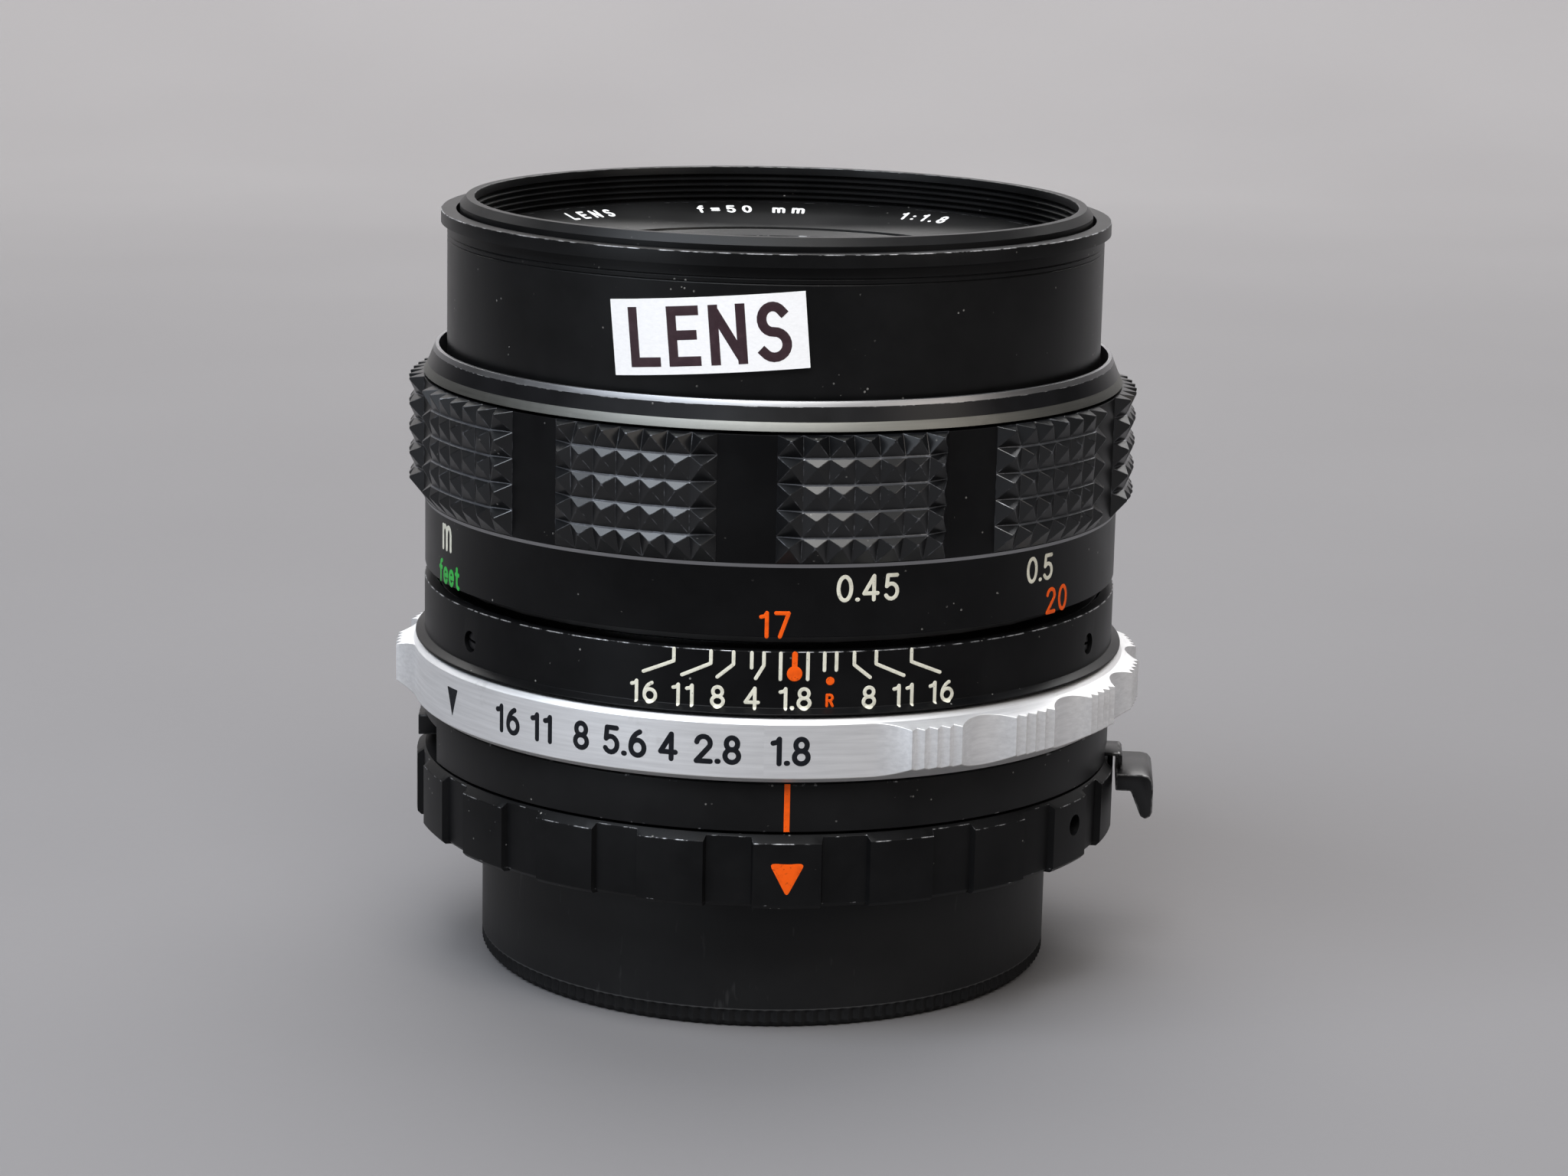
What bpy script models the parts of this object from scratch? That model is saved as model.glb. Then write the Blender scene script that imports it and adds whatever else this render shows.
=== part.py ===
"""Manual-focus 50 mm prime lens for a film camera, standing on its push-on rear cap.

Every turned piece shares the optical axis, which is world +Z and points out of the front glass.
World z = 0 is the underside of the rear cap, and -Y is the side that carries the index marks.
Lengths below are millimetres and angles are degrees. An azimuth is counted from -Y towards +X.
The lens is drawn at its closest focus, wide open, with the cap on.
"""
import bmesh
import bpy
from math import asin, atan2, ceil, cos, degrees, hypot, pi, radians, sin, sqrt, tau
from mathutils import Matrix, Vector

MM = 0.001

# Round pieces: how many flats stand for a full turn.
OUTER_STEPS = 40
INNER_STEPS = 32
GLASS_STEPS = 24
GRIP_STEPS = 80
SCREW_STEPS = 10

# Running gap between pieces that move on each other, and seat gap between pieces that touch.
GAP = 0.3

# Heights of the seams, seen from outside, from the cap up to the front rim.
CAP_TOP = 12.7
BREECH_BOTTOM = 11.3
BREECH_TOP = 17.0
REAR_SKIN_BOTTOM = 17.2
APERTURE_BOTTOM = 21.2
APERTURE_TOP = 26.2
DEPTH_RING_TOP = 31.2
FOCUS_BOTTOM = 32.3
SCALE_TOP = 37.6
GRIP_BOTTOM = 37.9
GRIP_TOP = 47.6
FOCUS_TOP = 50.0
LIP_TOP = 60.8
FRONT_RIM = 61.8

# Radii of the outside.
CAP_RADIUS = 23.3
BREECH_RADIUS = 28.2
BREECH_PAD_RADIUS = 28.7
BARREL_RADIUS = 28.07
APERTURE_RADIUS = 29.0
APERTURE_GRIP_RADIUS = 30.4
DEPTH_RING_RADIUS = 28.07
DEPTH_BEAD_RADIUS = 28.8
SCALE_RADIUS = 28.04
GRIP_BASE_RADIUS = 28.2
GRIP_RADIUS = 29.35
FRONT_BARREL_RADIUS = 26.3
LIP_RADIUS = 26.8
RIM_RADIUS = 25.3
RIM_BORE = 24.1

# Focusing: the optical unit moves FOCUS_TRAVEL as the focus ring turns FOCUS_TURN.
FOCUS_TRAVEL = 7.65

# Aperture control: the ring turns APERTURE_TURN from the widest to the smallest stop.
APERTURE_TURN = 46.4
BLADE_COUNT = 6
BLADE_OPEN_RADIUS = 11.2
BLADE_OUTER_RADIUS = 18.3
BLADE_PIVOT_RADIUS = 17.2
BLADE_SPAN = 112.0
BLADE_THICKNESS = 0.2
BLADE_PITCH = 0.42
BLADE_FLOOR = 33.4

# Positions round the axis.
HOOK_AZIMUTH = 86.0
LEVER_AZIMUTH = -87.5
KEY_AZIMUTH = 180.0
STOP_LEVER_AZIMUTH = 120.0
BALL_AZIMUTH = 160.0
DEPTH_SCREW_AZIMUTHS = (-55.5, 64.5, 184.5)
FLANGE_SCREW_AZIMUTHS = (30.0, 150.0, 270.0)
BREECH_SCREW_AZIMUTH = 59.0


# ---------------------------------------------------------------- scene and materials

def clear_scene():
    for item in list(bpy.context.scene.objects):
        bpy.data.objects.remove(item, do_unlink=True)


def new_collection(name):
    group = bpy.data.collections.new(name)
    bpy.context.scene.collection.children.link(group)
    return group


clear_scene()
PARTS = new_collection("prime_camera_lens")
CUTTERS = new_collection("cutters")


def material(name, color, roughness, metallic=0.0, transmission=0.0):
    """A plain finish for one kind of piece."""
    finish = bpy.data.materials.new(name)
    finish.use_nodes = True
    shader = finish.node_tree.nodes["Principled BSDF"]
    shader.inputs["Base Color"].default_value = (*color, 1.0)
    shader.inputs["Roughness"].default_value = roughness
    shader.inputs["Metallic"].default_value = metallic
    shader.inputs["Transmission Weight"].default_value = transmission
    finish.diffuse_color = (*color, 1.0)
    return finish


BLACK_PAINT = (0.012, 0.012, 0.013)
BLACK_ANODISED = (0.02, 0.02, 0.022)
BARE_METAL = (0.62, 0.62, 0.63)


# ---------------------------------------------------------------- shape helpers

def place(azimuth, radius, height=0.0):
    """The point at an azimuth, a radius and a height, in metres."""
    turn = radians(azimuth)
    return Vector((radius * sin(turn), -radius * cos(turn), height)) * MM


def add_piece(name, mesh, finish, parent=None, group=None):
    """Put a mesh in the model under its node's name."""
    piece = bpy.data.objects.new(name, mesh)
    (group or PARTS).objects.link(piece)
    if finish is not None:
        mesh.materials.append(finish)
    if parent is not None:
        piece.parent = parent
    return piece


def add_pivot(name, location=(0.0, 0.0, 0.0), parent=None):
    """An empty on a joint's axis, which the pieces that move together hang from."""
    pivot = bpy.data.objects.new(name, None)
    pivot.empty_display_size = 0.004
    pivot.location = location
    PARTS.objects.link(pivot)
    pivot.parent = parent
    return pivot


def as_cutter(piece):
    """Make a piece a cutter only: wire in the viewport and left out of renders."""
    piece.hide_render = True
    piece.display_type = "WIRE"
    return piece


def lathe(name, profile, finish, steps=INNER_STEPS, parent=None, closed=True, group=None):
    """Turn (radius, height) points about the axis. They go down the outside and up the bore."""
    points = [(r * MM, 0.0, z * MM) for r, z in profile]
    edges = [(i, i + 1) for i in range(len(points) - 1)]
    if closed:
        edges.append((len(points) - 1, 0))
    mesh = bpy.data.meshes.new(name)
    mesh.from_pydata(points, edges, [])
    piece = add_piece(name, mesh, finish, parent, group)
    turn = piece.modifiers.new("turn", "SCREW")
    turn.axis = "Z"
    turn.angle = tau
    turn.steps = steps
    turn.render_steps = steps
    turn.use_merge_vertices = True
    turn.merge_threshold = 0.00001
    turn.use_smooth_shade = True
    return piece


def tube(name, outer, inner, bottom, top, finish, steps=INNER_STEPS, parent=None, group=None):
    """A plain ring with a square section."""
    profile = [(inner, top), (outer, top), (outer, bottom), (inner, bottom)]
    return lathe(name, profile, finish, steps, parent, group=group)


def evaluated_mesh(piece):
    """The mesh that a piece's modifiers or curve data make, with its seams welded."""
    bpy.context.view_layer.update()
    graph = bpy.context.evaluated_depsgraph_get()
    mesh = bpy.data.meshes.new_from_object(piece.evaluated_get(graph))
    shape = bmesh.new()
    shape.from_mesh(mesh)
    bmesh.ops.remove_doubles(shape, verts=shape.verts, dist=0.000001)
    bmesh.ops.recalc_face_normals(shape, faces=shape.faces)
    shape.to_mesh(mesh)
    shape.free()
    return mesh


def slab(name, outline, bottom, top, finish, parent=None, group=None):
    """A flat outline of (x, y) points in mm, filled and extruded between two heights."""
    curve = bpy.data.curves.new(name, "CURVE")
    curve.dimensions = "2D"
    curve.fill_mode = "BOTH"
    curve.extrude = (top - bottom) / 2 * MM
    line = curve.splines.new("POLY")
    line.points.add(len(outline) - 1)
    for point, (x, y) in zip(line.points, outline):
        point.co = (x * MM, y * MM, 0.0, 1.0)
    line.use_cyclic_u = True
    sketch = bpy.data.objects.new(name + "_outline", curve)
    PARTS.objects.link(sketch)
    sketch.location = (0.0, 0.0, (top + bottom) / 2 * MM)
    mesh = evaluated_mesh(sketch)
    mesh.transform(sketch.matrix_world)
    bpy.data.objects.remove(sketch, do_unlink=True)
    mesh.name = name
    return add_piece(name, mesh, finish, parent, group)


def arc(radius, start, end, step=9.0):
    """(x, y) points along a circle about the axis, from one azimuth to another."""
    count = max(1, ceil(abs(end - start) / step))
    turns = [radians(start + (end - start) * i / count) for i in range(count + 1)]
    return [(radius * sin(t), -radius * cos(t)) for t in turns]


def sector(name, inner, outer, start, end, bottom, top, finish=None, parent=None, group=None):
    """A block bent round the axis, between two radii, two azimuths and two heights."""
    outline = arc(outer, start, end) + arc(inner, end, start)
    return slab(name, outline, bottom, top, finish, parent, group)


def sector_cutter(name, inner, outer, start, end, bottom, top):
    return as_cutter(sector(name, inner, outer, start, end, bottom, top, group=CUTTERS))


def rod(name, radius, start, end, finish=None, parent=None, group=None, steps=SCREW_STEPS):
    """A cylinder between two points given in metres."""
    along = end - start
    shape = bmesh.new()
    bmesh.ops.create_cone(
        shape, cap_ends=True, segments=steps, radius1=radius * MM, radius2=radius * MM, depth=along.length
    )
    mesh = bpy.data.meshes.new(name)
    shape.to_mesh(mesh)
    shape.free()
    piece = add_piece(name, mesh, finish, parent, group)
    piece.location = (start + end) / 2
    piece.rotation_euler = along.to_track_quat("Z", "Y").to_euler()
    return piece


def rod_cutter(name, radius, start, end):
    return as_cutter(rod(name, radius, start, end, group=CUTTERS))


def boolean(piece, other, operation="DIFFERENCE"):
    change = piece.modifiers.new(other.name, "BOOLEAN")
    change.operation = operation
    change.solver = "EXACT"
    change.object = other
    return change


def cut_all(piece, cutters):
    for cutter in cutters:
        boolean(piece, cutter)


def shade(piece, angle=30.0):
    """Smooth shading on a finished mesh, with its real edges kept sharp."""
    piece.data.shade_smooth()
    piece.data.set_sharp_from_angle(angle=radians(angle))


# ---------------------------------------------------------------- rear cap and mount

def make_rear_cap():
    """Push-on cap: the lens stands on it, and its rim reaches up inside the breech ring."""
    floor = 1.8
    bore = 21.6
    edge = 0.6
    profile = [
        (0.0, floor), (bore - edge, floor), (bore, floor + edge), (bore, CAP_TOP), (CAP_RADIUS, CAP_TOP),
        (CAP_RADIUS, edge), (CAP_RADIUS - edge, 0.0), (0.0, 0.0),
    ]
    finish = material("cap_plastic", (0.018, 0.018, 0.018), 0.62)
    return lathe("rear_cap", profile, finish, OUTER_STEPS, closed=False)


FLANGE_FACE = 13.0
FLANGE_TOP = 14.3
FLANGE_RADIUS = 26.4
FLANGE_BORE = 19.6
MOUNT_TUBE_RADIUS = 21.2
MOUNT_TUBE_BOTTOM = 6.0
FLANGE_SCREW_CIRCLE = 22.6


def flange_screw_line(azimuth, bottom, top):
    return place(azimuth, FLANGE_SCREW_CIRCLE, bottom), place(azimuth, FLANGE_SCREW_CIRCLE, top)


def make_mount_flange(parent):
    """Rear plate with the seating face and the short tube that enters the camera."""
    profile = [
        (FLANGE_BORE, FLANGE_TOP), (FLANGE_RADIUS, FLANGE_TOP), (FLANGE_RADIUS, FLANGE_FACE),
        (MOUNT_TUBE_RADIUS, FLANGE_FACE), (MOUNT_TUBE_RADIUS, MOUNT_TUBE_BOTTOM + 0.5),
        (MOUNT_TUBE_RADIUS - 0.5, MOUNT_TUBE_BOTTOM), (FLANGE_BORE, MOUNT_TUBE_BOTTOM),
    ]
    finish = material("mount_metal", (0.5, 0.49, 0.47), 0.32, 1.0)
    flange = lathe("mount_flange", profile, finish, OUTER_STEPS, parent)
    for i, azimuth in enumerate(FLANGE_SCREW_AZIMUTHS):
        start, end = flange_screw_line(azimuth, FLANGE_FACE - 1.0, FLANGE_TOP + 1.0)
        boolean(flange, rod_cutter(f"flange_hole_{i + 1}", 1.3, start, end))
    return flange


def make_flange_screws(parent):
    """Screws that hold the mount flange on the barrel's floor."""
    finish = material("screw_steel", (0.35, 0.35, 0.36), 0.35, 1.0)
    for i, azimuth in enumerate(FLANGE_SCREW_AZIMUTHS):
        start, end = flange_screw_line(azimuth, FLANGE_FACE + 0.1, FLANGE_TOP + 1.3)
        rod(f"flange_screw_{i + 1}", 1.0, start, end, finish, parent)


# ---------------------------------------------------------------- fixed barrel

BARREL_FLOOR = 14.6
BARREL_FLOOR_TOP = 16.2
BARREL_NECK = 25.0
BARREL_SLEEVE = 26.9
BARREL_BORE = 24.7
BARREL_TOP = 31.0
SKIN_INNER = 27.3
KEY_BOTTOM = 25.0
KEY_TOP = 30.2
HOOK_TAB_WIDTH = 4.0
LEVER_WIDTH = 9.0
LEVER_TURN = 12.0
BALL_RADIUS = 0.6
BALL_HEIGHT = 23.6
BALL_HOLE_END = 25.05


def make_main_barrel(parent):
    """Fixed body of the lens: floor, neck under the breech ring, rear skin and inner sleeve."""
    skin_top = APERTURE_BOTTOM - 0.2
    profile = [
        (BARREL_BORE, BARREL_TOP), (BARREL_SLEEVE, BARREL_TOP), (BARREL_SLEEVE, skin_top),
        (BARREL_RADIUS, skin_top), (BARREL_RADIUS, REAR_SKIN_BOTTOM), (BARREL_NECK, REAR_SKIN_BOTTOM),
        (BARREL_NECK, BARREL_FLOOR), (FLANGE_BORE, BARREL_FLOOR), (FLANGE_BORE, BARREL_FLOOR_TOP),
        (BARREL_BORE, BARREL_FLOOR_TOP),
    ]
    finish = material("barrel_black", BLACK_ANODISED, 0.4, 0.6)
    barrel = lathe("main_barrel", profile, finish, OUTER_STEPS, parent)
    side = 7.0
    first = HOOK_AZIMUTH - side
    last = HOOK_AZIMUTH + APERTURE_TURN + side
    channel = sector_cutter("hook_channel", 25.7, SKIN_INNER, first, last, REAR_SKIN_BOTTOM - 0.6, 25.6)
    slot = sector_cutter("hook_slot", 26.0, 29.0, first, last, REAR_SKIN_BOTTOM - 0.4, 18.2)
    lever_start = LEVER_AZIMUTH - LEVER_WIDTH / 2 - 1.5
    lever_end = LEVER_AZIMUTH + LEVER_WIDTH / 2 + LEVER_TURN + 1.5
    lever_slot = sector_cutter("lever_slot", 26.0, 29.0, lever_start, lever_end, 16.8, 20.0)
    cut_all(barrel, [channel, slot, lever_slot])
    for i, azimuth in enumerate(FLANGE_SCREW_AZIMUTHS):
        start, end = flange_screw_line(azimuth, BARREL_FLOOR - 1.0, BARREL_FLOOR_TOP + 1.0)
        boolean(barrel, rod_cutter(f"floor_hole_{i + 1}", 1.3, start, end))
    key_height = (KEY_BOTTOM + KEY_TOP) / 2
    key_hole = rod_cutter(
        "key_screw_hole", 0.95, place(KEY_AZIMUTH, 24.0, key_height), place(KEY_AZIMUTH, 28.0, key_height)
    )
    ball_hole = rod_cutter(
        "ball_hole", 0.9, place(BALL_AZIMUTH, BALL_HOLE_END, BALL_HEIGHT),
        place(BALL_AZIMUTH, 28.0, BALL_HEIGHT),
    )
    cut_all(barrel, [key_hole, ball_hole])
    return barrel


def make_guide_key(parent):
    """Block on the barrel's wall that keeps the optical unit from turning."""
    finish = material("key_brass", (0.62, 0.45, 0.2), 0.35, 1.0)
    half = 1.3
    start = KEY_AZIMUTH - degrees(asin(half / 23.0))
    end = KEY_AZIMUTH + degrees(asin(half / 23.0))
    sector("guide_key", 20.9, 24.35, start, end, KEY_BOTTOM, KEY_TOP, finish, parent)
    height = (KEY_BOTTOM + KEY_TOP) / 2
    rod(
        "guide_key_screw", 0.65, place(KEY_AZIMUTH, 24.65, height), place(KEY_AZIMUTH, 26.7, height),
        finish, parent,
    )


def make_click_stop(parent):
    """Ball and spring that click the aperture ring at each stop."""
    steel = material("ball_steel", (0.6, 0.6, 0.6), 0.15, 1.0)
    shape = bmesh.new()
    bmesh.ops.create_uvsphere(shape, u_segments=10, v_segments=6, radius=BALL_RADIUS * MM)
    mesh = bpy.data.meshes.new("click_ball")
    shape.to_mesh(mesh)
    shape.free()
    ball = add_piece("click_ball", mesh, steel, parent)
    ball.location = place(BALL_AZIMUTH, BARREL_SLEEVE - BALL_RADIUS + 0.1, BALL_HEIGHT)
    wire_radius = 0.07
    points_per_turn = 8
    count = 2 * points_per_turn + 1
    length = 0.4
    curve = bpy.data.curves.new("click_spring", "CURVE")
    curve.dimensions = "3D"
    curve.bevel_depth = wire_radius * MM
    curve.bevel_resolution = 0
    curve.use_fill_caps = True
    coil = curve.splines.new("POLY")
    coil.points.add(count - 1)
    for i, point in enumerate(coil.points):
        turn = tau * i / points_per_turn
        wire = Vector((0.4 * cos(turn), 0.4 * sin(turn), length * i / (count - 1))) * MM
        point.co = (*wire, 1.0)
    sketch = bpy.data.objects.new("click_spring_path", curve)
    PARTS.objects.link(sketch)
    spring_mesh = evaluated_mesh(sketch)
    bpy.data.objects.remove(sketch, do_unlink=True)
    spring = add_piece("click_spring", spring_mesh, steel, parent)
    spring.location = place(BALL_AZIMUTH, BALL_HOLE_END + 0.15, BALL_HEIGHT)
    spring.rotation_euler = place(BALL_AZIMUTH, 1.0).to_track_quat("Z", "Y").to_euler()


def make_depth_ring(parent):
    """Ring with the depth-of-field marks, flared to a bead above the aperture ring."""
    bottom = APERTURE_TOP + 0.25
    profile = [
        (27.15, DEPTH_RING_TOP), (DEPTH_RING_RADIUS, DEPTH_RING_TOP), (DEPTH_RING_RADIUS, 27.2),
        (DEPTH_BEAD_RADIUS, 26.7), (DEPTH_BEAD_RADIUS, bottom), (27.15, bottom),
    ]
    finish = material("depth_ring_black", BLACK_ANODISED, 0.38, 0.6)
    ring = lathe("depth_scale_ring", profile, finish, OUTER_STEPS, parent)
    height = 28.6
    for i, azimuth in enumerate(DEPTH_SCREW_AZIMUTHS):
        start = place(azimuth, 26.0, height)
        hole = rod_cutter(f"depth_hole_{i + 1}", 1.0, start, place(azimuth, 30.0, height))
        boolean(ring, hole)
        rod(
            f"depth_ring_screw_{i + 1}", 0.75, place(azimuth, 27.1, height), place(azimuth, 27.85, height),
            material(f"grub_black_{i + 1}", BLACK_PAINT, 0.45, 0.8), parent,
        )
    return ring


# ---------------------------------------------------------------- breech ring

BREECH_PAD_COUNT = 20
BREECH_PAD_PERIOD = 360.0 / BREECH_PAD_COUNT
BREECH_PAD_WIDTH = 10.7
BREECH_PAD_START = -1.5


def make_breech_ring(parent):
    """Locking ring with finger pads, free to turn round the barrel's neck."""
    outline = []
    for i in range(BREECH_PAD_COUNT):
        start = BREECH_PAD_START + i * BREECH_PAD_PERIOD
        end = start + BREECH_PAD_WIDTH
        outline += arc(BREECH_PAD_RADIUS, start, end, step=6.0)
        outline += arc(BREECH_RADIUS, end, start + BREECH_PAD_PERIOD, step=6.0)
    finish = material("breech_black", BLACK_PAINT, 0.48, 0.4)
    ring = slab("breech_ring", outline, BREECH_BOTTOM, BREECH_TOP, finish, parent)
    bore = [
        (0.0, 18.0), (BARREL_NECK + GAP, 18.0), (BARREL_NECK + GAP, 14.6), (FLANGE_RADIUS + 0.4, 14.6),
        (FLANGE_RADIUS + 0.4, 12.6), (24.0, 12.6), (24.0, 10.5), (0.0, 10.5),
    ]
    cutter = as_cutter(lathe("breech_bore", bore, None, OUTER_STEPS, closed=False, group=CUTTERS))
    boolean(ring, cutter)
    height = 14.5
    hole = rod_cutter(
        "breech_screw_hole", 1.0, place(BREECH_SCREW_AZIMUTH, 27.35, height),
        place(BREECH_SCREW_AZIMUTH, 30.0, height),
    )
    boolean(ring, hole)
    rod(
        "breech_ring_screw", 0.75, place(BREECH_SCREW_AZIMUTH, 27.5, height),
        place(BREECH_SCREW_AZIMUTH, 28.1, height),
        material("breech_screw_black", BLACK_PAINT, 0.4, 0.8), parent,
    )
    return ring


# ---------------------------------------------------------------- aperture ring and its arm

GRIP_START = 21.4
GRIP_END = 277.0
LAND_WIDTH = 8.0
SCALLOP_COUNT = 14
SCALLOP_PERIOD = (GRIP_END - GRIP_START - LAND_WIDTH) / SCALLOP_COUNT
SCALLOP_DEPTH = 1.15
WALL_WIDTH = 5.2


def aperture_face_radius(azimuth):
    """Radius of the aperture ring's outer face: plain at the numbers, raised and scalloped round the grip."""
    turn = azimuth % 360.0
    into_grip = min(turn - GRIP_START, GRIP_END - turn)
    if into_grip < 0.0:
        wall = max(0.0, 1.0 + into_grip / WALL_WIDTH)
        return APERTURE_RADIUS + (APERTURE_GRIP_RADIUS - APERTURE_RADIUS) * wall * wall
    past_land = (turn - GRIP_START) % SCALLOP_PERIOD - LAND_WIDTH
    if past_land <= 0.0:
        return APERTURE_GRIP_RADIUS
    return APERTURE_GRIP_RADIUS - SCALLOP_DEPTH * sin(pi * past_land / (SCALLOP_PERIOD - LAND_WIDTH))


def make_aperture_ring(parent):
    """Bright ring with the aperture numbers. Its grip stands proud and has finger scallops."""
    face_bottom = 22.2
    face_top = 25.7
    profile = [
        (27.2, APERTURE_TOP), (28.6, APERTURE_TOP), (APERTURE_RADIUS, face_top),
        (APERTURE_RADIUS, face_bottom), (28.4, APERTURE_BOTTOM), (27.2, APERTURE_BOTTOM),
    ]
    finish = material("aperture_aluminium", BARE_METAL, 0.3, 1.0)
    ring = lathe("aperture_ring", profile, finish, GRIP_STEPS, parent)
    mesh = evaluated_mesh(ring)
    ring.modifiers.clear()
    ring.data = mesh
    for vertex in mesh.vertices:
        radius = hypot(vertex.co.x, vertex.co.y) / MM
        if radius > APERTURE_RADIUS - 0.1:
            azimuth = degrees(atan2(vertex.co.x, -vertex.co.y))
            grown = aperture_face_radius(azimuth) / radius
            vertex.co.x *= grown
            vertex.co.y *= grown
    shade(ring)
    return ring


def make_coupling_hook(parent):
    """Arm that tells the camera which stop is set: a tab inside the barrel, a step and a turned-down tip."""
    finish = material("hook_black", BLACK_PAINT, 0.42, 0.5)
    tab = [
        (26.15, 25.0), (26.95, 25.0), (26.95, 17.85), (29.35, 17.85), (29.35, 16.0), (29.0, 16.0),
        (29.0, 17.35), (26.15, 17.35),
    ]
    plate = [
        (29.0, 16.3), (31.1, 16.3), (31.65, 16.05), (31.9, 15.5), (31.9, 13.2), (31.7, 12.75), (31.3, 12.6),
        (30.95, 12.75), (30.1, 14.9), (29.0, 14.9),
    ]
    hook = upright_slab("coupling_hook", tab, HOOK_TAB_WIDTH, finish)
    foot = as_cutter(upright_slab("hook_plate", plate, 7.6, None, CUTTERS))
    for piece in (hook, foot):
        piece.rotation_euler = (pi / 2, 0.0, radians(HOOK_AZIMUTH - 90.0))
    boolean(hook, foot, "UNION")
    hook.parent = parent
    return hook


def upright_slab(name, outline, width, finish, group=None):
    """An outline of (radius, height) points, with its width lying round the axis."""
    return slab(name, outline, -width / 2, width / 2, finish, group=group)


# ---------------------------------------------------------------- preview lever

def make_preview_lever(parent):
    """Small lever at the side that closes the diaphragm by hand."""
    finish = material("lever_black", BLACK_PAINT, 0.4, 0.5)
    start = LEVER_AZIMUTH - LEVER_WIDTH / 2
    end = LEVER_AZIMUTH + LEVER_WIDTH / 2
    return sector("preview_lever", 26.4, 28.6, start, end, 17.75, 19.4, finish, parent)


# ---------------------------------------------------------------- focusing group

FOCUS_BORE = 26.95
WEB_BOTTOM = 50.3
WEB_TOP = 51.6
SLEEVE_TOP = WEB_BOTTOM - FOCUS_TRAVEL - 0.4
PAD_COUNT = 10
PAD_STEPS = 6
PAD_FIRST = 1.1


def make_focus_ring(parent):
    """Focus ring: distance scale below, ten raised grip pads above."""
    profile = [
        (FOCUS_BORE, GRIP_TOP), (GRIP_BASE_RADIUS, GRIP_TOP), (GRIP_BASE_RADIUS, GRIP_BOTTOM),
        (SCALE_RADIUS, SCALE_TOP), (SCALE_RADIUS, FOCUS_BOTTOM), (FOCUS_BORE, FOCUS_BOTTOM),
    ]
    finish = material("focus_black", BLACK_ANODISED, 0.34, 0.5)
    ring = lathe("focus_ring", profile, finish, GRIP_STEPS, parent)
    mesh = evaluated_mesh(ring)
    ring.modifiers.clear()
    ring.data = mesh
    raise_pads(mesh)
    ring.rotation_euler = (0.0, 0.0, radians(PAD_FIRST))
    shade(ring)
    return ring


def raise_pads(mesh):
    """Push out the grip's faces in groups, leaving a smooth gap between neighbouring pads."""
    shape = bmesh.new()
    shape.from_mesh(mesh)
    middle = (GRIP_BOTTOM + GRIP_TOP) / 2 * MM
    segment = 360.0 / GRIP_STEPS
    per_pad = GRIP_STEPS // PAD_COUNT
    for pad in range(PAD_COUNT):
        wanted = []
        for face in shape.faces:
            center = face.calc_center_median()
            outside = hypot(center.x, center.y) > (GRIP_BASE_RADIUS - 0.3) * MM
            if not outside or abs(center.z - middle) > 0.001:
                continue
            index = int((degrees(atan2(center.x, -center.y)) % 360.0) / segment)
            if index // per_pad == pad and index % per_pad < PAD_STEPS:
                wanted.append(face)
        grown = bmesh.ops.extrude_face_region(shape, geom=wanted)
        bmesh.ops.delete(shape, geom=wanted, context="FACES")
        for vertex in (item for item in grown["geom"] if isinstance(item, bmesh.types.BMVert)):
            scale = GRIP_RADIUS / GRIP_BASE_RADIUS
            vertex.co.x *= scale
            vertex.co.y *= scale
            if vertex.co.z > middle:
                vertex.co.z -= 0.3 * MM
            else:
                vertex.co.z += 0.3 * MM
    bmesh.ops.recalc_face_normals(shape, faces=shape.faces)
    shape.to_mesh(mesh)
    shape.free()


def make_focus_trim_ring(parent):
    """Bevelled ring at the front of the focus ring, with two bright turned lines."""
    profile = [
        (FOCUS_BORE, FOCUS_TOP), (27.23, FOCUS_TOP), (27.43, 49.5), (27.84, 48.5), (28.18, 47.85),
        (FOCUS_BORE, 47.85),
    ]
    finish = material("trim_metal", (0.5, 0.5, 0.5), 0.25, 1.0)
    return lathe("focus_trim_ring", profile, finish, OUTER_STEPS, parent)


def make_helicoid_sleeve(parent):
    """Threaded sleeve that turns with the focus ring and drives the optical unit in and out."""
    profile = [
        (22.8, SLEEVE_TOP), (24.4, SLEEVE_TOP), (24.4, 33.0), (26.6, 33.0), (26.6, 31.5), (22.8, 31.5),
    ]
    finish = material("helicoid_brass", (0.6, 0.43, 0.18), 0.3, 1.0)
    return lathe("helicoid_sleeve", profile, finish, parent=parent)


# ---------------------------------------------------------------- optical unit

CARRIER_BORE = 20.3
CARRIER_RADIUS = 22.5
CARRIER_BOTTOM = 24.4
CARRIER_TOP = 50.0


def make_helicoid_carrier(parent):
    """Inner helicoid: it slides on the guide key and carries both lens groups."""
    finish = material("carrier_aluminium", (0.45, 0.45, 0.46), 0.35, 1.0)
    carrier = tube(
        "helicoid_carrier", CARRIER_RADIUS, CARRIER_BORE, CARRIER_BOTTOM, CARRIER_TOP, finish, parent=parent
    )
    half = degrees(asin(1.65 / 21.5))
    top = KEY_TOP + FOCUS_TRAVEL + 0.4
    slot = sector_cutter(
        "key_slot", 19.0, 24.0, KEY_AZIMUTH - half, KEY_AZIMUTH + half, CARRIER_BOTTOM - 1.0, top
    )
    boolean(carrier, slot)
    return carrier


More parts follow.
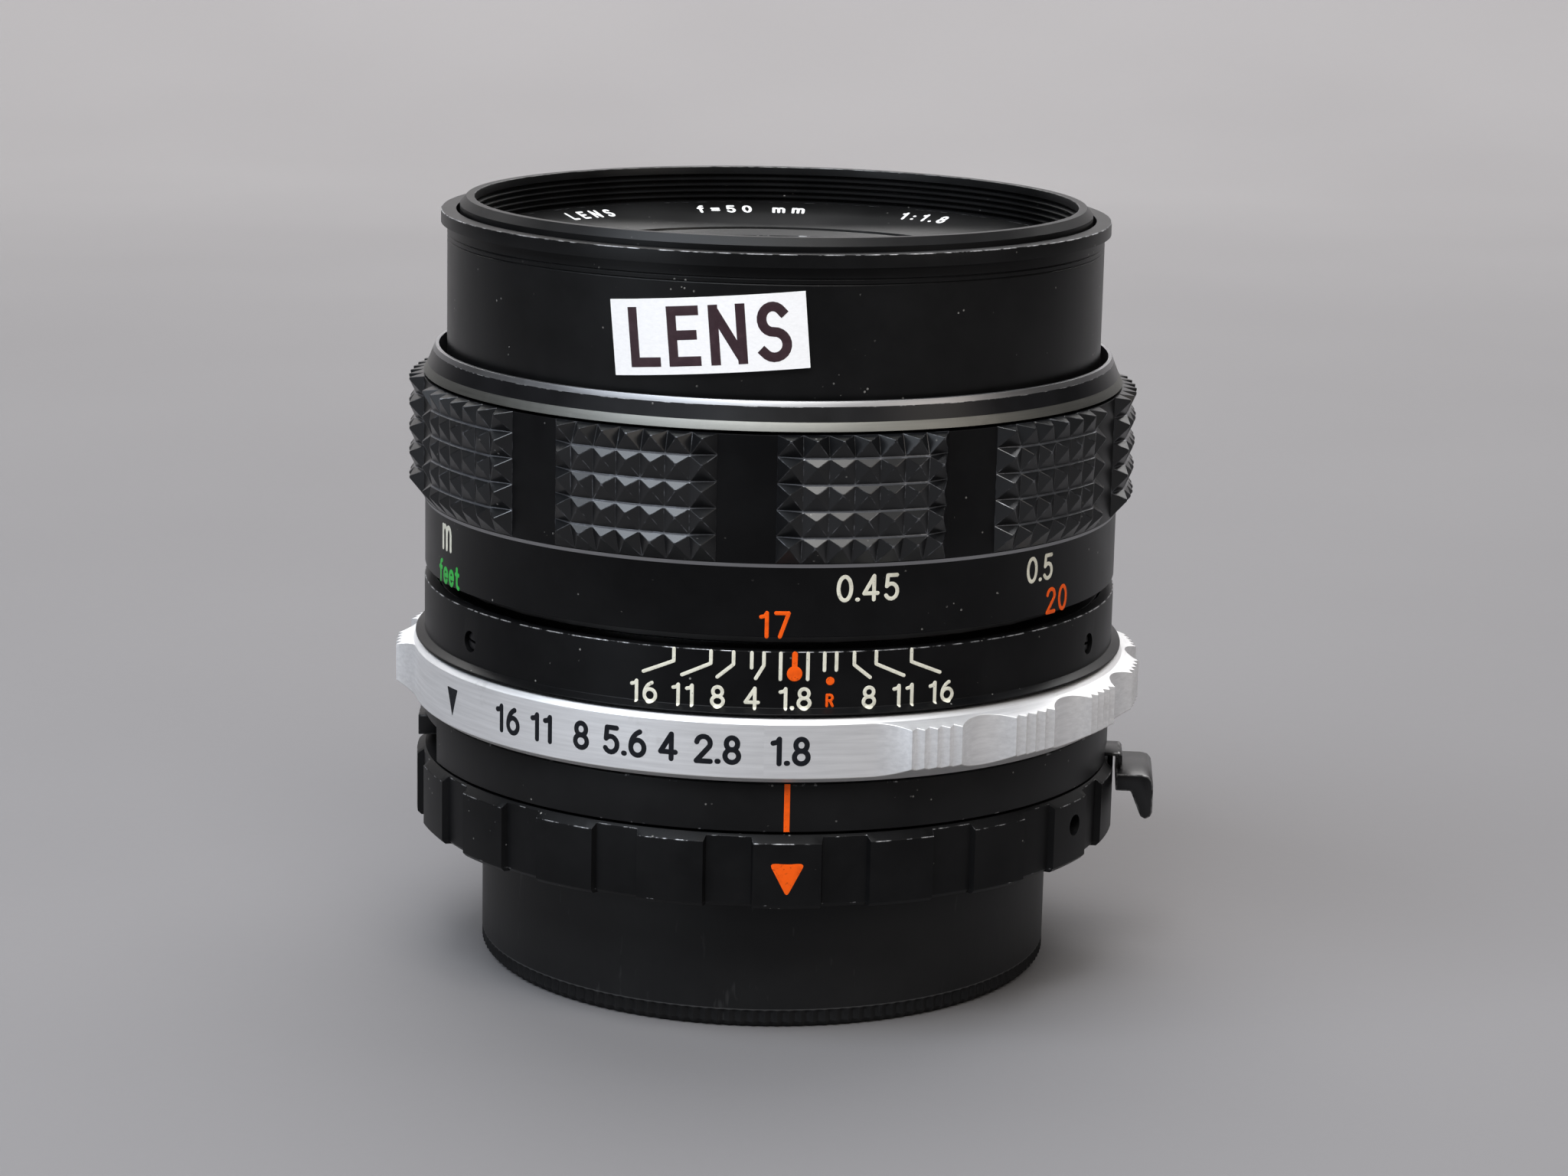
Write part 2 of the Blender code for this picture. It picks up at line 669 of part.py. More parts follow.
def make_front_barrel(parent):
    """Outer tube of the optical unit, with a lip at the front and a web that holds the front cell."""
    bore = 24.9
    profile = [
        (RIM_RADIUS + 0.3, LIP_TOP), (LIP_RADIUS, LIP_TOP), (LIP_RADIUS, 59.8), (FRONT_BARREL_RADIUS, 59.8),
        (FRONT_BARREL_RADIUS, 41.0), (bore, 41.0), (bore, WEB_BOTTOM), (CARRIER_BORE, WEB_BOTTOM),
        (CARRIER_BORE, WEB_TOP), (bore, WEB_TOP), (bore, 56.2), (RIM_RADIUS + 0.3, 56.2),
    ]
    finish = material("front_barrel_black", BLACK_ANODISED, 0.42, 0.6)
    return lathe("front_barrel", profile, finish, OUTER_STEPS, parent)


def make_filter_ring(parent):
    """Front ring with the filter seat. Its bore stands at the thread's inner diameter."""
    profile = [
        (RIM_BORE, FRONT_RIM), (RIM_RADIUS - 0.5, FRONT_RIM), (RIM_RADIUS, FRONT_RIM - 0.6),
        (RIM_RADIUS, 56.5), (RIM_BORE, 56.5),
    ]
    finish = material("filter_ring_black", BLACK_ANODISED, 0.4, 0.6)
    return lathe("filter_ring", profile, finish, OUTER_STEPS, parent)


def make_name_ring(parent):
    """Shallow conical ring round the front glass."""
    outer = RIM_BORE - 0.35
    profile = [(17.4, 56.7), (outer, 58.8), (outer, 56.6), (23.0, 56.0), (17.4, 56.0)]
    finish = material("name_ring_black", BLACK_PAINT, 0.45, 0.3)
    return lathe("name_ring", profile, finish, OUTER_STEPS, parent)


def make_front_cell(parent):
    """Cell that holds the three front glasses."""
    profile = [
        (16.7, 55.7), (19.9, 55.7), (19.9, 36.9), (12.7, 36.9), (12.7, 37.6), (14.7, 37.6), (14.7, 50.9),
        (16.7, 50.9),
    ]
    lathe("front_cell", profile, material("cell_black", BLACK_PAINT, 0.5, 0.4), parent=parent)
    ring = [(15.6, 55.2), (16.4, 55.2), (16.4, 53.6), (15.6, 53.6)]
    lathe("front_retaining_ring", ring, material("retainer_black", BLACK_PAINT, 0.4, 0.4), parent=parent)
    spacer = [(13.2, 50.6), (14.4, 50.6), (14.4, 47.2), (13.2, 48.3)]
    lathe("front_spacer", spacer, material("spacer_black", BLACK_PAINT, 0.6, 0.3), parent=parent)


def make_rear_cell(parent):
    """Cell that holds the three rear glasses."""
    profile = [
        (11.0, 32.2), (15.5, 32.2), (15.5, 14.9), (13.3, 14.9), (13.3, 19.0), (12.5, 19.0), (12.5, 31.6),
        (11.0, 31.6),
    ]
    lathe("rear_cell", profile, material("rear_cell_black", BLACK_PAINT, 0.5, 0.4), parent=parent)
    spacer = [(11.6, 22.4), (12.2, 22.4), (12.2, 19.2), (11.6, 19.2)]
    lathe("rear_spacer", spacer, material("rear_spacer_black", BLACK_PAINT, 0.6, 0.3), parent=parent)
    ring = [(12.0, 16.9), (13.0, 16.9), (13.0, 15.1), (12.0, 15.1)]
    lathe("rear_retaining_ring", ring, material("rear_retainer_black", BLACK_PAINT, 0.4, 0.4), parent=parent)


# Each glass: name, height of the front pole, thickness on the axis, signed front and rear radii of
# curvature (positive when the centre is behind the surface), outer radius, and the clear radii.
GLASSES = (
    ("front_lens", 57.0, 4.5, 33.6, 86.0, 16.4, 16.4, 16.4),
    ("second_lens", 52.1, 5.5, 22.6, 45.0, 14.4, 14.4, 14.4),
    ("third_lens", 46.4, 2.2, 45.0, 14.8, 14.4, 14.4, 12.2),
    ("fourth_lens", 27.6, 1.8, -17.2, 60.0, 12.2, 10.8, 12.2),
    ("fifth_lens", 25.6, 6.0, 60.0, -24.5, 12.2, 12.2, 12.2),
    ("rear_lens", 19.3, 3.8, 110.0, -44.0, 13.0, 13.0, 13.0),
)


def sag(curvature_radius, radius):
    """How far a spherical surface falls behind its pole at a radius from the axis."""
    size = abs(curvature_radius)
    fall = size - sqrt(size * size - radius * radius)
    return fall if curvature_radius > 0 else -fall


def make_glasses(parent):
    """Six glasses in four groups: two single lenses and two cemented pairs."""
    finish = material("optical_glass", (0.9, 0.93, 0.95), 0.02, 0.0, 1.0)
    steps = 3
    for name, pole, thickness, front, rear, outer, front_clear, rear_clear in GLASSES:
        profile = []
        for i in range(steps + 1):
            radius = front_clear * i / steps
            profile.append((radius, -sag(front, radius)))
        if front_clear < outer:
            profile.append((outer, profile[-1][1]))
        lower = []
        for i in range(steps + 1):
            radius = rear_clear * i / steps
            lower.append((radius, -thickness - sag(rear, radius)))
        if rear_clear < outer:
            lower.append((outer, lower[-1][1]))
        profile += reversed(lower)
        glass = lathe(name, profile, finish, GLASS_STEPS, parent, closed=False)
        glass.location = (0.0, 0.0, pole * MM)


def make_paper_label(parent):
    """Small paper sticker on the front barrel, stuck on slightly askew."""
    azimuth = -10.5
    height = 54.6
    half_width = 16.2
    half_height = 2.85
    inner = FRONT_BARREL_RADIUS + 0.1
    finish = material("label_paper", (0.85, 0.85, 0.86), 0.7)
    outline = arc(inner + 0.12, -half_width, half_width, step=5.4)
    outline += arc(inner, half_width, -half_width, step=5.4)
    label = slab("paper_label", outline, -half_height, half_height, finish, parent)
    tilt = Matrix.Rotation(radians(-5.0), 4, "Y")
    label.data.transform(tilt)
    label.location = (0.0, 0.0, height * MM)
    label.rotation_euler = (0.0, 0.0, radians(azimuth))
    return label


# ---------------------------------------------------------------- diaphragm

def make_diaphragm_housing(parent):
    """Ring that carries the blades' pivots. The stop-down lever moves in the slot in its floor."""
    profile = [
        (19.0, 36.7), (19.9, 36.7), (19.9, 30.6), (15.8, 30.6), (15.8, 32.1), (19.0, 32.1),
    ]
    finish = material("housing_black", BLACK_PAINT, 0.5, 0.4)
    housing = lathe("diaphragm_housing", profile, finish, parent=parent)
    slot = sector_cutter(
        "stop_lever_slot", 16.3, 17.9, STOP_LEVER_AZIMUTH - 8.0, STOP_LEVER_AZIMUTH + APERTURE_TURN + 8.0,
        30.0, 32.6,
    )
    boolean(housing, slot)
    cover = tube(
        "blade_cover", 18.7, 12.7, 36.0, 36.5, material("cover_black", BLACK_PAINT, 0.5, 0.4), parent=parent
    )
    return housing, cover


def make_cam_ring(parent):
    """Ring under the blades that swings them all together, with the lever that the camera pushes."""
    finish = material("cam_steel", (0.4, 0.4, 0.4), 0.4, 1.0)
    tube("iris_cam_ring", 18.6, 12.6, 32.5, 33.1, finish, parent=parent)
    sector(
        "stop_down_lever", 16.6, 17.5, STOP_LEVER_AZIMUTH - 5.0, STOP_LEVER_AZIMUTH + 5.0, 10.2, 32.2,
        material("stop_lever_steel", (0.42, 0.42, 0.42), 0.35, 1.0), parent,
    )


def blade_outline():
    """Crescent blade about its own pivot, which lies at the origin. The lens axis is at +Y."""
    step = 14.0
    tail = 1.1
    inner_start = 4.0
    outline = arc(BLADE_OUTER_RADIUS, 0.0, BLADE_SPAN, step)
    outline += arc(BLADE_OPEN_RADIUS, BLADE_SPAN - 6.0, inner_start + 8.0, step)
    outline += arc(BLADE_PIVOT_RADIUS - tail, inner_start, -inner_start, step=8.0)
    return [(x, y + BLADE_PIVOT_RADIUS) for x, y in outline]


def make_blades(parent):
    """Six thin blades, each on its own pivot and at its own height so that they pass each other."""
    finish = material("blade_black", (0.03, 0.03, 0.035), 0.35, 0.9)
    for i in range(BLADE_COUNT):
        azimuth = 360.0 * i / BLADE_COUNT
        bottom = BLADE_FLOOR + i * BLADE_PITCH
        pivot = add_pivot(f"blade_pivot_{i + 1}", place(azimuth, BLADE_PIVOT_RADIUS, bottom), parent)
        pivot.rotation_euler = (0.0, 0.0, radians(azimuth))
        slab(f"iris_blade_{i + 1}", blade_outline(), 0.0, BLADE_THICKNESS, finish, pivot)


# ---------------------------------------------------------------- assembly

def build():
    make_rear_cap()
    fixed = add_pivot("fixed_axis")
    make_main_barrel(fixed)
    make_mount_flange(fixed)
    make_flange_screws(fixed)
    make_guide_key(fixed)
    make_click_stop(fixed)
    make_depth_ring(fixed)
    make_breech_ring(add_pivot("breech_axis", parent=fixed))
    aperture = add_pivot("aperture_axis", parent=fixed)
    make_aperture_ring(aperture)
    make_coupling_hook(aperture)
    make_preview_lever(add_pivot("preview_axis", parent=fixed))
    focus = add_pivot("focus_axis", parent=fixed)
    make_focus_ring(focus)
    make_focus_trim_ring(focus)
    make_helicoid_sleeve(focus)
    optics = add_pivot("optical_axis", parent=fixed)
    make_helicoid_carrier(optics)
    make_front_barrel(optics)
    make_filter_ring(optics)
    make_name_ring(optics)
    make_front_cell(optics)
    make_rear_cell(optics)
    make_glasses(optics)
    make_paper_label(optics)
    make_diaphragm_housing(optics)
    make_cam_ring(add_pivot("cam_axis", parent=optics))
    make_blades(optics)


build()
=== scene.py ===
"""Looks of a manual-focus 50 mm prime lens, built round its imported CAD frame.

Heights and radii are millimetres in the frame's own axes: +Z is the optical axis, z = 0 is the
underside of the rear cap. An azimuth is in degrees, counted from -Y towards +X.
"""
from collections import namedtuple
from math import ceil, cos, degrees, hypot, radians, sin, sqrt

import bmesh
import bpy
from mathutils import Matrix, Vector


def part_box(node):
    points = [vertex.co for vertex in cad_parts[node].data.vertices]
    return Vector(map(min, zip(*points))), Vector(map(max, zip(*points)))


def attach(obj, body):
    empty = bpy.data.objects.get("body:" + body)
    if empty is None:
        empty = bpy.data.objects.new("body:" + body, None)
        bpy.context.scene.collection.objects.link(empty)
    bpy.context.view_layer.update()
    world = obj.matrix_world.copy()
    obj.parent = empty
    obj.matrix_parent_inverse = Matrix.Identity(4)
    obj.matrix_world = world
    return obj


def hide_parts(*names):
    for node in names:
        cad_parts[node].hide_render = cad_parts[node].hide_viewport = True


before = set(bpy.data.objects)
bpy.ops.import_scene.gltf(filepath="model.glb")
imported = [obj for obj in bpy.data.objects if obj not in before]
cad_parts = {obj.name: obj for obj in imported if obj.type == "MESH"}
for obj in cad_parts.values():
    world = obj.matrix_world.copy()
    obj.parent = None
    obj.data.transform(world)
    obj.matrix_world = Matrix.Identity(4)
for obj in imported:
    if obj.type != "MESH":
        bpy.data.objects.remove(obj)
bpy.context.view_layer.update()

MM = 0.001

# ---- sizes read from the frame

Span = namedtuple("Span", "front bottom top")


def span(node):
    """A node's reach towards -Y, and its lowest and highest point, in mm."""
    low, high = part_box(node)
    return Span(-low.y / MM, low.z / MM, high.z / MM)


CAP = span("rear_cap")
FLANGE = span("mount_flange")
BREECH = span("breech_ring")
BARREL = span("main_barrel")
APERTURE = span("aperture_ring")
DEPTH = span("depth_scale_ring")
FOCUS = span("focus_ring")
TRIM = span("focus_trim_ring")
TUBE = span("front_barrel")
RIM = span("filter_ring")
NAME = span("name_ring")

# Azimuths of the index lines, the coupling arm, and the windows for the arm and the lever.
INDEX = 3.7
DEPTH_INDEX = 4.35
HOOK = 86.0
HOOK_RANGE = (79.0, 139.4)
LEVER_RANGE = (-93.5, -69.5)

SURFACE_STEPS = 240
CORNER_STEPS = 3
BLUNT_STEPS = 5
SHARP_ANGLE = 32.0


# ---- materials

class Shading:
    """A material under construction: short names for the nodes that its recipe needs."""

    def __init__(self, name):
        self.material = bpy.data.materials.new(name)
        self.material.use_nodes = True
        self.tree = self.material.node_tree
        self.shader = self.tree.nodes["Principled BSDF"]
        self.place = self.tree.nodes.new("ShaderNodeTexCoord").outputs["Object"]

    def put(self, target, value):
        """Link another node's output to a socket, or write a value into it."""
        if isinstance(value, bpy.types.NodeSocket):
            self.tree.links.new(value, target)
        else:
            target.default_value = value

    def shade(self, **values):
        """Fill the shader's own sockets, whose names have underscores for spaces here."""
        for name, value in values.items():
            self.put(self.shader.inputs[name.replace("_", " ")], value)

    def node(self, kind, **values):
        """A new node with these sockets filled."""
        node = self.tree.nodes.new(f"ShaderNode{kind}")
        for name, value in values.items():
            self.put(node.inputs[name], value)
        return node

    def math(self, operation, *values, clamp=False):
        node = self.node("Math")
        node.operation = operation
        node.use_clamp = clamp
        for socket, value in zip(node.inputs, values):
            self.put(socket, value)
        return node.outputs[0]

    def product(self, first, second):
        return self.math("MULTIPLY", first, second)

    def total(self, first, second, clamp=False):
        return self.math("ADD", first, second, clamp=clamp)

    def fit(self, value, low, high, new_low=0.0, new_high=1.0):
        """Map a value's range to another, held at both ends."""
        node = self.node("MapRange")
        for socket, number in zip(node.inputs, (value, low, high, new_low, new_high)):
            self.put(socket, number)
        return node.outputs[0]

    def noise(self, scale, detail=3.0, roughness=0.5, place=None, stretch=None):
        place = place or self.place
        if stretch:
            place = self.node("Mapping", Vector=place, Scale=stretch).outputs[0]
        noise = self.node("TexNoise", Vector=place, Scale=scale, Detail=detail, Roughness=roughness)
        return noise.outputs["Fac"]

    def cells(self, scale):
        return self.node("TexVoronoi", Vector=self.place, Scale=scale).outputs["Distance"]

    def mix(self, amount, first, second):
        node = self.node("Mix")
        node.data_type = "RGBA"
        self.put(node.inputs["Factor"], amount)
        for socket, value in ((node.inputs["A"], first), (node.inputs["B"], second)):
            self.put(socket, value if isinstance(value, bpy.types.NodeSocket) else (*value, 1.0))
        return node.outputs["Result"]

    def attribute(self, name):
        node = self.node("Attribute")
        node.attribute_name = name
        return node.outputs["Fac"]

    def split(self):
        return self.node("SeparateXYZ", Vector=self.place).outputs[:3]

    def radius(self):
        x, y, _ = self.split()
        return self.math("SQRT", self.total(self.product(x, x), self.product(y, y)))

    def lathe_place(self):
        """Radius, a little of the azimuth, and height: a texture on it runs in rings round the axis."""
        x, y, z = self.split()
        azimuth = self.product(self.math("ARCTAN2", x, y), 0.0012)
        return self.node("CombineXYZ", X=self.radius(), Y=azimuth, Z=z).outputs[0]

    def bump(self, *layers):
        """Bump layers, each a (value, height in metres), stacked into the shader's normal."""
        under = {}
        for value, height in layers:
            node = self.node("Bump", Strength=1.0, Distance=height, Height=value, **under)
            under = {"Normal": node.outputs[0]}
        self.shade(**under)

    def finish(self, color, roughness, metallic=0.0):
        self.shade(Base_Color=color, Roughness=roughness, Metallic=metallic)
        return self.material


DUST = (0.34, 0.33, 0.31)
STAIN = (0.30, 0.29, 0.27)
BLACKENED = (0.004, 0.004, 0.004)


def scaled(factor, color):
    return tuple(factor * part for part in color)


def coated_black(name, tones, roughness, bare=(0.5, 0.5, 0.51), worn_from=0.52, specular=0.2,
                 lines=0.0000012, dust=1.0, edge=None):
    """Black anodising or enamel: faint turning lines, smudges, dust specks, and edges rubbed through to the
    metal.

    The tones are its darkest and lightest black. Without an edge value the faces tell their share of wear,
    and a share above one lays the bare colour on in full as a painted highlight.
    """
    m = Shading(name)
    smudge = m.noise(160.0, 4.0, 0.6)
    fine = m.noise(5200.0, 2.0, 0.5, m.lathe_place())
    grain = m.noise(9000.0, 2.0)
    speck = m.math("LESS_THAN", m.cells(1500.0), 0.13)
    sparse = m.fit(m.noise(420.0, 3.0, 0.6), 0.60, 0.66)
    dusty = m.product(m.product(speck, sparse), 0.55 * dust)
    edge = m.attribute("wear_and_highlight") if edge is None else edge
    patches = m.fit(m.noise(900.0, 4.0, 0.65), worn_from, worn_from + 0.16)
    patchy = m.product(patches, m.math("MINIMUM", edge, 1.0))
    # A share above one lays the bare colour on in full: a painted highlight, used on the focus grip's row
    # lines.
    wear_and_highlight = m.total(patchy, m.math("MAXIMUM", m.math("SUBTRACT", edge, 1.0), 0.0), clamp=True)
    color = m.mix(m.fit(smudge, 0.35, 0.65), *tones)
    color = m.mix(dusty, color, DUST)
    color = m.mix(wear_and_highlight, color, bare)
    m.shade(Specular_IOR_Level=specular)
    m.bump((fine, lines), (grain, 0.0000008))
    return m.finish(color, m.total(roughness - 0.06, m.product(smudge, 0.12)), m.product(wear_and_highlight, 0.85))


def turned_metal(name, color, roughness, lines=0.000004, metallic=1.0, black_beyond=None):
    """Bare turned metal: rings from the tool, a satin sheen that varies, and faint stains.

    Beyond the last radius, in metres, it is blackened.
    """
    m = Shading(name)
    rings = m.lathe_place()
    coarse = m.noise(3800.0, 3.0, 0.6, rings)
    fine = m.noise(11000.0, 2.0, 0.5, rings)
    patch = m.noise(240.0, 5.0, 0.65)
    scratch = m.noise(1600.0, 3.0, 0.6, stretch=(1.0, 1.0, 0.25))
    base = m.mix(m.fit(coarse, 0.3, 0.7), scaled(0.86, color), color)
    base = m.mix(m.product(m.fit(patch, 0.62, 0.78), 0.35), base, STAIN)
    m.bump((coarse, lines), (fine, lines * 0.5))
    if black_beyond is not None:
        blackened = m.math("GREATER_THAN", m.radius(), black_beyond)
        base = m.mix(blackened, base, BLACKENED)
        metallic = m.math("SUBTRACT", 1.0, blackened)
    return m.finish(base, m.total(roughness - 0.08, m.product(m.total(coarse, scratch), 0.09)), metallic)


def moulded_plastic(name, tones, roughness):
    """Moulded black plastic with a fine spark-eroded grain and handling marks."""
    m = Shading(name)
    smudge = m.noise(110.0, 5.0, 0.6)
    grain = m.noise(5200.0, 3.0, 0.6)
    scuff = m.fit(m.noise(900.0, 3.0, 0.6, stretch=(1.0, 1.0, 0.2)), 0.66, 0.74)
    color = m.mix(m.fit(smudge, 0.35, 0.7), *tones)
    color = m.mix(m.product(scuff, 0.14), color, (0.16, 0.16, 0.16))
    color = m.mix(m.product(m.attribute("wear_and_highlight"), 0.22), color, (0.22, 0.22, 0.22))
    m.shade(Specular_IOR_Level=0.3)
    m.bump((grain, 0.000006))
    return m.finish(color, m.total(roughness - 0.05, m.product(smudge, 0.12)))


def paint(name, color, shade, roughness=0.42, specular=0.5):
    """Enamel filled into an engraved figure: thin in places, with dirt in its pits."""
    m = Shading(name)
    pits = m.noise(4200.0, 4.0, 0.6)
    thin = m.noise(1300.0, 3.0, 0.55)
    base = m.mix(m.fit(thin, 0.48, 0.72, 0.0, 0.55), color, shade)
    base = m.mix(m.product(m.fit(pits, 0.62, 0.70), 0.6), base, scaled(0.25, shade))
    m.shade(Specular_IOR_Level=specular)
    m.bump((pits, 0.000012))
    return m.finish(base, m.fit(pits, 0.3, 0.7, roughness - 0.08, roughness + 0.12))


def paper(name):
    """White label stock: slightly uneven, with soft fibres."""
    m = Shading(name)
    fibre = m.noise(2600.0, 5.0, 0.7, stretch=(1.0, 1.0, 2.2))
    cloud = m.noise(260.0)
    base = m.mix(m.fit(fibre, 0.35, 0.7), (0.95, 0.94, 0.94), (0.88, 0.87, 0.87))
    base = m.mix(m.fit(cloud, 0.62, 0.8, 0.0, 0.25), base, (0.62, 0.59, 0.52))
    m.bump((fibre, 0.00001))
    return m.finish(base, m.fit(cloud, 0.3, 0.7, 0.5, 0.62))


def coated_glass(name, tint, film):
    """Optical glass with a thin anti-reflection film in nanometres, and a trace of dust on it."""
    m = Shading(name)
    dust = m.product(m.fit(m.noise(2400.0, 4.0, 0.7), 0.64, 0.72), 0.10)
    m.shade(IOR=1.62, Transmission_Weight=1.0, Thin_Film_Thickness=film, Thin_Film_IOR=1.38)
    return m.finish(m.mix(dust, tint, (0.6, 0.6, 0.6)), m.fit(dust, 0.0, 0.1, 0.004, 0.16))


# Darkest and lightest tone of each black.
ANODISED = ((0.0032, 0.0032, 0.0034), (0.0060, 0.0060, 0.0063))
ENAMEL = ((0.0036, 0.0036, 0.0039), (0.0068, 0.0068, 0.0072))
DEEP = ((0.0028, 0.0028, 0.0031), (0.0052, 0.0052, 0.0056))
BLUISH = ((0.0032, 0.0034, 0.0040), (0.0064, 0.0068, 0.0078))
MATT = ((0.003, 0.003, 0.003), (0.006, 0.006, 0.006))
SATIN = ((0.004, 0.004, 0.0045), (0.008, 0.008, 0.009))
RUBBED = ((0.005, 0.005, 0.0055), (0.010, 0.010, 0.011))
BLUED = ((0.006, 0.006, 0.0065), (0.012, 0.012, 0.013))
GREYISH = ((0.012, 0.012, 0.013), (0.022, 0.022, 0.024))

FINISH = {
    "tube": coated_black("tube_black", ANODISED, 0.34, worn_from=0.46),
    "rim": coated_black("rim_black", ANODISED, 0.36, (0.12, 0.12, 0.12), 0.38),
    "barrel": coated_black("barrel_black", ENAMEL, 0.40, worn_from=0.62),
    "breech": coated_black("breech_black", ENAMEL, 0.42, (0.36, 0.36, 0.37), 0.50, 0.12),
    "scale": coated_black("scale_black", DEEP, 0.36, worn_from=0.46, specular=0.12),
    "band": coated_black("band_black", DEEP, 0.34, worn_from=0.9, specular=0.13),
    "grip": coated_black("grip_black", BLUISH, 0.30, (0.16, 0.165, 0.18), specular=0.5),
    "inner": coated_black("inner_black", MATT, 0.36, dust=0.4),
    "bevel": coated_black("bevel_black", SATIN, 0.30),
    "hook": coated_black("hook_black", SATIN, 0.30, (0.2, 0.2, 0.2), specular=0.4),
    "screw": coated_black("screw_black", BLUED, 0.36, (0.1, 0.1, 0.1)),
    "worn_edge": coated_black("worn_edge", RUBBED, 0.36, (0.22, 0.22, 0.22), 0.46, edge=1.0),
    "blade": coated_black("blade_black", GREYISH, 0.34, lines=0.000003),
    "aluminium": turned_metal("turned_aluminium", (0.90, 0.90, 0.91), 0.45, metallic=0.74),
    # Painted shade: a darker, less metallic copy of the turned aluminium for the aperture ring's underside.
    "painted_shade_aluminium": turned_metal("painted_shade_aluminium", (0.62, 0.61, 0.60), 0.5, metallic=0.4),
    "trim": turned_metal("trim_aluminium", (0.34, 0.34, 0.35), 0.38, 0.000002),
    "dull_trim": turned_metal("dull_trim", (0.20, 0.20, 0.185), 0.46, 0.000002),
    "steel": turned_metal("steel", (0.46, 0.46, 0.47), 0.34),
    "mount": turned_metal("mount_metal", (0.62, 0.60, 0.57), 0.30),
    "brass": turned_metal("helicoid_brass", (0.66, 0.48, 0.22), 0.34, black_beyond=0.0246),
    "carrier": turned_metal("inner_aluminium", (0.58, 0.58, 0.59), 0.40),
    "plastic": moulded_plastic("cap_plastic", ((0.0055, 0.0055, 0.006), (0.010, 0.010, 0.0105)), 0.50),
    "glass": coated_glass("front_glass", (0.97, 0.98, 0.97), 118.0),
    "inner_glass": coated_glass("inner_glass", (0.97, 0.97, 0.95), 96.0),
    "paper": paper("label_paper"),
    "cream": paint("cream_paint", (0.78, 0.76, 0.64), (0.50, 0.48, 0.38)),
    "orange": paint("orange_paint", (0.92, 0.11, 0.004), (0.60, 0.065, 0.004), specular=0.2),
    "green": paint("green_paint", (0.02, 0.42, 0.05), (0.015, 0.22, 0.03)),
    "ink": paint("black_paint_fill", (0.007, 0.008, 0.011), (0.016, 0.016, 0.02), 0.5, 0.15),
    "white": paint("white_paint", (0.80, 0.81, 0.80), (0.5, 0.5, 0.5)),
    "print": paint("label_print", (0.026, 0.008, 0.013), (0.05, 0.022, 0.03), 0.5),
}


# ---- mesh helpers

def linked(name, data):
    """A new object for a mesh, a light or a camera."""
    item = bpy.data.objects.new(name, data)
    bpy.context.scene.collection.objects.link(item)
    return item


def from_shape(name, shape):
    """A mesh object made from a bmesh, which is used up."""
    mesh = bpy.data.meshes.new(name)
    shape.to_mesh(mesh)
    shape.free()
    return linked(name, mesh)


def crisp(mesh, angle=SHARP_ANGLE):
    mesh.shade_smooth()
    mesh.set_sharp_from_angle(angle=radians(angle))


def piece_from(name, points, faces, finishes, slots=None, wear_and_highlight=None, sharp=SHARP_ANGLE):
    """A mesh object from points in mm, with its finishes and the share of wear on each face; on the focus
    grip's row lines that share is a painted highlight.
    """
    mesh = bpy.data.meshes.new(name)
    mesh.from_pydata([(x * MM, y * MM, z * MM) for x, y, z in points], [], faces)
    for key in finishes:
        mesh.materials.append(FINISH[key])
    if slots:
        mesh.polygons.foreach_set("material_index", slots)
    layer = mesh.attributes.new("wear_and_highlight", "FLOAT", "FACE")
    layer.data.foreach_set("value", wear_and_highlight or [0.0] * len(faces))
    crisp(mesh, sharp)
    return linked(name, mesh)


def dress(piece, body, slot, *nodes):
    """Put a piece on its body and hide the CAD nodes that it stands for. The slot is not used."""
    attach(piece, body)
    if nodes:
        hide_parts(*nodes)


def at(azimuth, radius, height):
    turn = radians(azimuth)
    return (radius * sin(turn), -radius * cos(turn), height)


def even(count=SURFACE_STEPS):
    return [360.0 * i / count for i in range(count)]


def with_edges(edges, count=SURFACE_STEPS, width=0.18):
    """Even azimuths, with two extra ones close together at each edge so that it comes out crisp."""
    extra = [edge % 360.0 + shift for edge in edges for shift in (-width / 2, width / 2)]
    kept = [a for a in even(count) if all(abs((a - e + 180.0) % 360.0 - 180.0) > width for e in extra)]
    return sorted(kept + [e % 360.0 for e in extra])


def arc(before, corner, after, rounding, steps):
    """The curve that rounds a corner off, starting that far, or almost half-way, towards its neighbours."""
    ends = []
    for other in (before, after):
        reach = hypot(other[0] - corner[0], other[1] - corner[1])
        share = min(rounding / reach, 0.45) if reach > 0.0 else 0.0
        ends.append([corner[a] + (other[a] - corner[a]) * share for a in (0, 1)])
    curve = []
    for k in range(steps + 1):
        t = k / steps
        curve.append(tuple(
            (1 - t) ** 2 * ends[0][a] + 2 * t * (1 - t) * corner[a] + t * t * ends[1][a] for a in (0, 1)
        ))
    return curve


def rounded(corners):
    """Points (radius, height, wear, finish) of an outline of corners (radius, height[, rounding[, finish]]).

    The finish wears off on the arcs at the corners. The finish number is that of the faces from the
    corner to the next one.
    """
    full = [corner + (0.0, 0)[len(corner) - 2:] for corner in corners]
    points = []
    for i, corner in enumerate(full):
        radius, height, rounding, finish = corner
        if not rounding:
            points.append((radius, height, 0.0, finish))
            continue
        curve = arc(full[i - 1], corner, full[(i + 1) % len(full)], rounding, CORNER_STEPS)
        points += [(*spot, 1.0, finish) for spot in curve[:-1]]
        points.append((*curve[-1], 0.0, finish))
    return points


